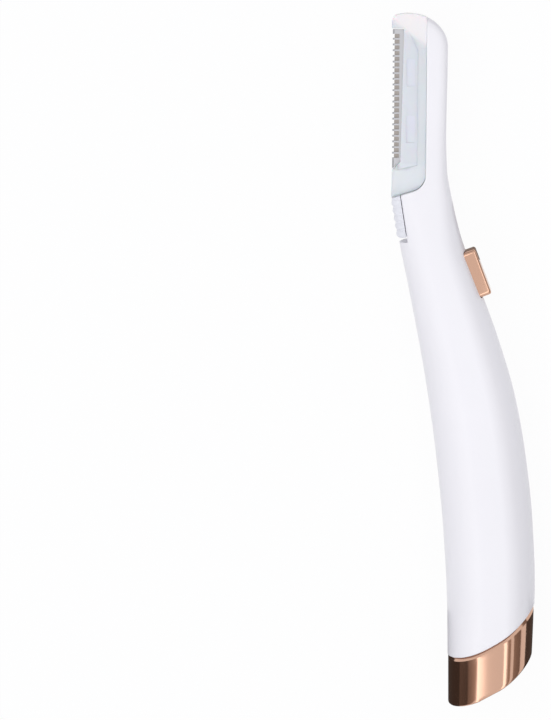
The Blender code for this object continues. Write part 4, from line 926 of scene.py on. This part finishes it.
# Release tab: a ribbed slide for the thumb in its bed on the neck's front, moulded in the shells'
# ABS. A T-shaped key runs in a groove behind it, and a small coil spring pushes it back up.
TAB_DEPTH = 2.1
TAB_GAP = 0.14                # behind the tab
TAB_TOP = (TAB_ABOVE + 0.28, TAB_ABOVE + 0.58)    # in front and behind: the cartridge's slope
TAB_CHAMFER = (0.4, 0.2)      # depth and height, at its lower front edge
TAB_SWELL = 0.48              # its sides stand this far out from the handle's form
TAB_RIBS = 5
RIB_HEIGHT = 0.35
RIB_ROOT = 0.3                # how deep a rib is set into the tab
RIB_SHARE = (0.08, 0.84)      # where a rib starts and how wide it is, in shares of the pitch
RIB_SINK = 0.26               # depth of the grooves that the ribs leave across the sides
KEY_HEIGHT = 1.6
rib_pitch = (TAB_BELOW + TAB_ABOVE) / TAB_RIBS
tab_outline = [(-TAB_GAP, -TAB_BELOW), (-TAB_GAP, TAB_TOP[1]), (-TAB_DEPTH, TAB_TOP[0]),
               (-TAB_DEPTH, TAB_CHAMFER[1] - TAB_BELOW), (TAB_CHAMFER[0] - TAB_DEPTH, -TAB_BELOW)]
tab = prism("thumb_tab", [on(tab_axis, x, y) for x, y in tab_outline], -HALF_THICKNESS, HALF_THICKNESS)
rib = [(-TAB_DEPTH - RIB_HEIGHT * sin(pi * t), -TAB_BELOW + rib_pitch * (RIB_SHARE[0] + RIB_SHARE[1] * t))
       for t in spread(0.0, 1.0, 12)]
rib += [(RIB_ROOT - TAB_DEPTH, rib[-1][1]), (RIB_ROOT - TAB_DEPTH, rib[0][1])]
rib = prism("rib", [on(tab_axis, x, y) for x, y in rib], -HALF_THICKNESS, HALF_THICKNESS)
ribs = grown("ribs", row_tree, {
    "Count": TAB_RIBS, "Pitch": (-rib_pitch * sin(TAB_TILT), rib_pitch * cos(TAB_TILT), 0.0),
    "Finish": white_abs}, rib.data)
bpy.data.objects.remove(rib)
combine(tab, ribs, "UNION")
limit = []                    # rings of the handle's form, swollen and grooved, that bound its sides
for y in spread(-10.0, 9.0, 120):
    sink = RIB_SINK * cos(pi * (y + TAB_BELOW) / rib_pitch) ** 6
    limit.append([(x, level + (x - tab_axis[0][0]) * tan(TAB_TILT), up)
                  for x, level, up in form_ring(tab_y + y * cos(TAB_TILT), sink - TAB_SWELL, 96)])
combine(tab, loft("tab_limit", limit), "INTERSECT")
combine(tab, block("key_neck", tab_axis, (-0.5, 1.3), (0.0, KEY_HEIGHT), (-0.8, 0.8)), "UNION")
combine(tab, block("key_head", tab_axis, (0.9, 1.5), (0.0, KEY_HEIGHT), (-1.4, 1.4)), "UNION")
# ABS, injection moulded like the shells, with a slightly duller mould face
tab_abs = moulded("ABS, satin white, tab", "ECEDF3", "E8E9F0", 0.38, 1.2, 0.006, IOR=1.52)
to_frame(tab, tab_abs)
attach(tab, "tab")
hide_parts("release_tab")

# Its spring: the same drawn stainless wire as the battery's, coiled straight. It stands in the shells'
# groove under the key, and is pressed shorter as the tab goes down.
RETURN_FOOT = (0.9, -4.15)    # on the tab's axis
RETURN_RISE = 3.87
return_spring = grown("tab_spring", coil_tree, {
    "Foot radius": 0.55, "Tip radius": 0.55, "Rise": RETURN_RISE, "Turns": 7.0, "Wire radius": 0.13,
    "Finish": spring_wire})
stand_on(return_spring, tab_axis, *RETURN_FOOT)
to_frame(return_spring, spring_wire, 60)
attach(return_spring, "handle")
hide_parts("release_spring")
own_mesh(return_spring)

# Studio: a plain pale floor, two strip lamps beside the camera, and two fills that lift the shade
# without being reflected. Cards that only reflections see give the plated pieces their bands.
FLOOR = 1.6                   # metres, half of its side
FLOOR_LEVEL = -0.0002
PAPER_SHARE = 0.93            # how far the floor looks like lit paper; its shadows show in the rest
WHITE = (1.0, 1.0, 1.0, 1.0)


def looked_at(tree):
    """1 for what the camera sees straight, in a reflection or through a clear piece, else 0."""
    ray = add(tree, "ShaderNodeLightPath")
    seen = ray.outputs["Is Camera Ray"]
    for kind in ("Is Glossy Ray", "Is Transmission Ray"):
        seen = add(tree, "ShaderNodeMath", {"operation": "MAXIMUM"}, {
            0: seen, 1: ray.outputs[kind]}).outputs[0]
    return seen


# Painted board: matt pale grey, and as bright as paper to the camera and in reflections
floor_paint = bare("painted board, pale grey")
tree = floor_paint.node_tree
share = add(tree, "ShaderNodeMath", {"operation": "MULTIPLY"}, {0: looked_at(tree), 1: PAPER_SHARE})
matt = add(tree, "ShaderNodeBsdfDiffuse", inputs={"Color": colour("CFCFD3")})
glow = add(tree, "ShaderNodeEmission", inputs={"Color": WHITE, "Strength": 1.02})
mixed = add(tree, "ShaderNodeMixShader", inputs={
    0: share.outputs[0], 1: matt.outputs[0], 2: glow.outputs[0]})
add(tree, "ShaderNodeOutputMaterial", inputs={"Surface": mixed.outputs[0]})
mesh = bpy.data.meshes.new("floor")
mesh.from_pydata([(u * FLOOR, v * FLOOR, FLOOR_LEVEL) for u, v in ((-1, -1), (1, -1), (1, 1), (-1, 1))],
                 [], [(0, 1, 2, 3)])
mesh.materials.append(floor_paint)
shown("floor", mesh)


def lamp(name, place, aim, width, length, power):
    """A soft strip lamp that lies along the tool."""
    data = bpy.data.lights.new(name, "AREA")
    data.shape = "RECTANGLE"
    data.size, data.size_y = width, length
    data.energy = power
    holder = shown(name, data)
    away = (Vector(place) - Vector(aim)).normalized()
    across = Vector((0, 1, 0)).cross(away).normalized()
    turn = Matrix((across, away.cross(across), away)).transposed().to_4x4()
    holder.matrix_world = Matrix.Translation(place) @ turn
    holder.visible_camera = False
    return holder


lamp("strip_left", (-0.12, -0.05, 0.62), (0, -0.05, 0), 0.15, 0.95, 0.6)
lamp("strip_right", (0.205, -0.05, 0.62), (0, -0.05, 0), 0.14, 0.95, 0.54)
for fill in (lamp("fill_left", (-0.44, -0.02, 0.64), (0, -0.02, 0), 0.45, 0.9, 1.45),
             lamp("fill_neck", (0.075, 0.035, 0.05), (0, 0.035, 0.011), 0.05, 0.06, 0.0055)):
    fill.visible_glossy = False

WARM = (1.05, 0.86, 0.76, 1.0)    # the cards' tint, for the plating's brown shadows


def flag(name, foot, top, corners):
    """A card that only reflections see, from one level at its lowest edge to another at its top."""
    paint = bare(name)
    tree = paint.node_tree
    heights = [corner[2] for corner in corners]
    place = add(tree, "ShaderNodeTexCoord").outputs["Object"]
    height = add(tree, "ShaderNodeSeparateXYZ", inputs={"Vector": place}).outputs["Z"]
    level = add(tree, "ShaderNodeMapRange", inputs={
        "Value": height, "From Min": min(heights), "From Max": max(heights) + 1e-6,
        "To Min": foot, "To Max": top})
    tint = add(tree, "ShaderNodeMix", {"data_type": "RGBA"}, {
        0: level.outputs["Result"], 6: (0.0, 0.0, 0.0, 1.0), 7: WARM})
    shade = add(tree, "ShaderNodeEmission", inputs={"Color": tint.outputs[2]})
    add(tree, "ShaderNodeOutputMaterial", inputs={"Surface": shade.outputs[0]})
    mesh = bpy.data.meshes.new(name)
    mesh.from_pydata(corners, [], [(0, 1, 2, 3)])
    mesh.materials.append(paint)
    card = shown(name, mesh)
    card.visible_camera = card.visible_diffuse = False
    card.visible_transmission = card.visible_shadow = False


flag("flag_left_high", 0.22, 0.6, [
    (-0.2, -0.26, 0.15), (-0.2, -0.118, 0.15), (-0.2, -0.205, 0.54), (-0.2, -0.26, 0.54)])
flag("flag_left_low", 0.13, 0.09, [
    (-0.2, -0.26, 0), (-0.2, -0.105, 0), (-0.2, -0.118, 0.15), (-0.2, -0.26, 0.15)])
flag("flag_left_floor", 0.06, 0.06, [
    (-0.2, -0.2, 0), (-0.003, -0.12, 0), (-0.003, -0.062, 0), (-0.2, -0.105, 0)])
flag("flag_right_high", 0.4, 0.45, [
    (0.2, -0.26, 0.215), (0.2, -0.04, 0.215), (0.2, -0.04, 0.345), (0.2, -0.26, 0.345)])
flag("flag_right_low", 0.22, 0.36, [
    (0.2, -0.26, 0.009), (0.2, 0.14, 0.009), (0.2, 0.14, 0.135), (0.2, -0.26, 0.135)])
flag("flag_right_floor", 0.08, 0.08, [
    (0.004, -0.12, 0), (0.05, -0.12, 0), (0.05, -0.062, 0), (0.004, -0.062, 0)])
flag("flag_button_floor", 0.25, 0.25, [
    (-0.002, 0.024, 0), (0.016, 0.024, 0), (0.016, 0.038, 0), (-0.002, 0.038, 0)])
flag("flag_head", 0.2, 0.3, [(-0.3, 0.3, 0), (0.2, 0.3, 0), (0.2, 0.3, 0.08), (-0.3, 0.3, 0.08)])

world = bpy.data.worlds.new("studio")
bpy.context.scene.world = world
world.use_nodes = True
tree = world.node_tree
tree.nodes.clear()
soft = add(tree, "ShaderNodeBackground", inputs={"Color": colour("F8F8FC"), "Strength": 0.655})
paper = add(tree, "ShaderNodeBackground", inputs={"Color": WHITE, "Strength": 1.0})
mixed = add(tree, "ShaderNodeMixShader", inputs={
    0: looked_at(tree), 1: soft.outputs[0], 2: paper.outputs[0]})
add(tree, "ShaderNodeOutputWorld", inputs={"Surface": mixed.outputs[0]})
bpy.context.scene.view_settings.view_transform = "Standard"

# Camera: nearly straight down on the tool as it lies on its side, from over the head end and through
# a long lens, as in the photograph.
eye = Vector((-0.000225, 0.1137, 0.7221))
aim = Vector((-0.04488, 0.00036, 0.011))
back = (eye - aim).normalized()
right = Vector((0, 1, 0)).cross(back).normalized()
lens = bpy.data.cameras.new("camera")
lens.lens = 151.2
lens.sensor_width = 36.0
camera = shown("camera", lens)
turn = Matrix((right, back.cross(right), back)).transposed().to_4x4()
camera.matrix_world = Matrix.Translation(eye) @ turn
bpy.context.scene.camera = camera
